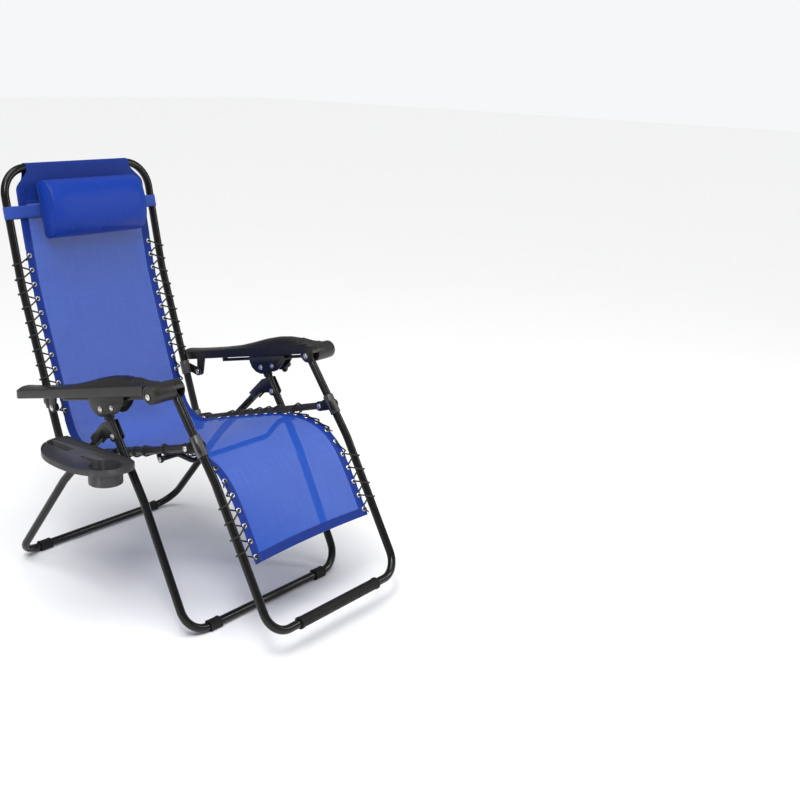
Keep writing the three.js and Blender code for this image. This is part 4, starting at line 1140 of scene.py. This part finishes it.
def seam_gap(co):
    """Distance in millimetres from each point to the sewn edge of the end panels."""
    y = (co[:, 1] - OY) * 1000
    ring = np.array([place(*head_at(d, n)) for d, n in pillow_profile(-6.0, 60)[:61]])
    flat = np.linalg.norm(co[:, None, [0, 2]] - ring[None][:, :, [0, 2]], axis=2).min(1) * 1000
    return np.hypot(np.maximum(0, PILLOW_HALF - 5 - np.abs(y)), flat)


def inflate(ob, voxel, pressure, cap):
    """Remesh, blow up with the cloth solver, cap each point's travel, and keep the result."""
    r = ob.modifiers.new("remesh", "REMESH")
    r.mode, r.voxel_size = "VOXEL", voxel
    settled(ob)
    start = np.array([v.co for v in ob.data.vertices])
    hold = np.clip(seam_gap(start) / 26.0, 0.0, 1.0)
    base = np.array(place(*head_at(STRAP_AT, FRONT + 0.6)))
    out = np.array(Vector((BACK_N[0], 0, BACK_N[1])))
    depth = (start - base) @ out
    end = start.copy()
    c = ob.modifiers.new("cloth", "CLOTH")
    c.settings.quality = 6
    c.settings.use_pressure = True
    c.settings.uniform_pressure_force = pressure
    c.settings.effector_weights.gravity = 0.0
    c.settings.tension_stiffness = c.settings.compression_stiffness = 12
    c.settings.bending_stiffness = 0.6
    c.settings.shrink_min = -0.02
    for f in range(1, 21):
        SCENE.frame_set(f)
    ev = ob.evaluated_get(bpy.context.evaluated_depsgraph_get())
    end = np.array([v.co for v in ev.data.vertices])
    ob.modifiers.clear()
    SCENE.frame_set(1)
    facing = np.array([v.normal for v in ob.data.vertices])
    limit = cap * (0.10 + 0.90 * hold) * np.clip(depth / 0.010, 0.0, 1.0)
    swell = np.clip(((end - start) * facing).sum(axis=1), 0.0, limit)
    co = start + facing * swell[:, None]
    co -= np.minimum(0.0, (co - base) @ out)[:, None] * out
    ob.data.vertices.foreach_set("co", co.ravel())
    sub = ob.modifiers.new("smooth", "CORRECTIVE_SMOOTH")
    sub.iterations, sub.smooth_type, sub.use_only_smooth = 6, "SIMPLE", True
    sub = ob.modifiers.new("subdivide", "SUBSURF")
    sub.levels = sub.render_levels = 1
    settled(ob)
    ob.data.materials.clear()
    ob.data.materials.append(M["pillow"])
    soft_shade(ob, 180.0)


inflate(pillow, 0.005, 4.0, 0.007)
tree = BVHTree.FromPolygons([v.co for v in pillow.data.vertices],
                            [list(p.vertices) for p in pillow.data.polygons])
s = Shape()
for m in (1, -1):
    line = []
    for d, n in pillow_profile(-4.0, 60)[:61]:
        want = place(*head_at(d, n, m * (PILLOW_HALF - 5)))
        near = tree.find_nearest(want)[0] or want
        line.append(((near.x - OX) * 1000, (near.y - OY) * 1000, near.z * 1000))
    sweep(s, line, 1.9, 10)
piping = s.make("pillow_edge_piping", "piping", 60.0)
finish(pillow, "pillow")
finish(piping, "pillow", stands=False)

# ---- side tray
TRAY = [(-446, -308), (-430, -300), (-330, -300), (-262, -300), (-239, -303), (-216, -300), (-190, -300),
        (-166, -304), (-150, -318), (-143, -345), (-150, -378), (-172, -408), (-206, -428), (-250, -438),
        (-304, -438), (-356, -430), (-402, -410), (-436, -378), (-450, -342)]


def closed_curve(points, per=6):
    p = [np.array(q, float) for q in points]
    n = len(p)
    return [tuple(catmull(p[i - 1], p[i], p[(i + 1) % n], p[(i + 2) % n], k / per))
            for i in range(n) for k in range(per)]


def inset(outline, by):
    """The outline moved towards its middle."""
    middle_at = tuple(sum(q[i] for q in outline) / len(outline) for i in (0, 1))
    return [add2(q, unit(q, middle_at), by) for q in outline]


def circle(c, r, n=56):
    return [polar(c, r, 2 * pi * k / n) for k in range(n)]


def box_at(c, hx, hy):
    return [(c[0] + hx * i, c[1] + hy * j) for i, j in ((-1, -1), (1, -1), (1, 1), (-1, 1))]


def block(outline, z0, z1, name="c"):
    """Upright slab between two heights, given from the tray's top."""
    return plate(name, outline, TRAY_Z + z0, TRAY_Z + z1, "tray", upright=True)


edge = [(x, min(y, -300.2)) for x, y in closed_curve(TRAY)]
wall = inset(edge, 3.4)
stem = [(-95, -4), (-60, -6), (-20, -8), (-20, 8), (-60, 6), (-95, 4)]
tray = block(edge, -TRAY_RIM, 0, "tray_shell")
for outline, z0, z1, op in (
    (wall, -3.5, 5, "DIFFERENCE"),  # shallow dish on top
    (wall, -TRAY_RIM - 5, -7, "DIFFERENCE"),  # hollow below
    (circle(CUP, CUP_R + 2.2), -48, -5, "UNION"),  # outsides of the wells
    (box_at(SLOT, 48, 14), -44, -5, "UNION"),
    (box_at((CUP[0] - 68, CUP[1]), 30, 10), -24, -5, "UNION"),
    (circle(CUP, CUP_R), -46, 5, "DIFFERENCE"),  # insides of the wells
    (box_at(SLOT, 46, 12), -42, 5, "DIFFERENCE"),
    ([add2(CUP, q) for q in stem], -22, 5, "DIFFERENCE"),
):
    cut(tray, block(outline, z0, z1), op)


def beside(c, d, *steps):
    """Points i along the direction d from c and j to the left of it."""
    return [add2(add2(c, d, i), (-d[1], d[0]), j) for i, j in steps]


# clip over the front leg tube, finger on the rear one, and the struts up to the shell
clip, gap = on_line(LEG_BEND, LEG_SLOPE, TRAY_Z - 24), TUBE_R + 0.5
saddle = plate("saddle", beside(clip, LEG_UP, (-12, -15), (12, -15), (12, 15), (-12, 15)),
               -LEG_Y - 15, -LEG_Y + 2, "tray")
bore = Shape()
sweep(bore, [(x, -LEG_Y, z) for x, z in beside(clip, LEG_UP, (-40, 0), (40, 0))], gap, 32)
cut(saddle, bore.make("c", "tray", weld=True))
cut(saddle, plate("c", beside(clip, LEG_UP, (-40, -gap), (40, -gap), (40, gap), (-40, gap)),
                  -LEG_Y, -LEG_Y + 30, "tray"))
foot_z = TRAY_Z - 7
strut = plate("strut", [add2(clip, (-14, -10)), add2(clip, (14, -10)), (clip[0] + 16, foot_z),
                        (clip[0] - 20, foot_z)], -LEG_Y - 17, -LEG_Y - 12.2, "tray")
finger = plate("finger", beside(REAR_BEND, REAR_UP, (104, 11.5), (132, 11.5), (132, 14.5), (104, 14.5)),
               -LEG_Y - 15, -LEG_Y + 6, "tray")
rear_strut = plate("rear_strut", beside(REAR_BEND, REAR_UP, (104, -8), (132, -8))
                   + [(-378, foot_z), (-436, foot_z)]
                   + beside(REAR_BEND, REAR_UP, (132, 14.5), (104, 14.5)), -LEG_Y - 16.5, -LEG_Y - 12, "tray")
bevelled(tray, 0.9, 30.0)
hooks = [bevelled(part, 0.7, 30.0) for part in (saddle, strut, finger, rear_strut)]
join(tray, *hooks)
soft_shade(tray)
finish(tray, "side_tray")
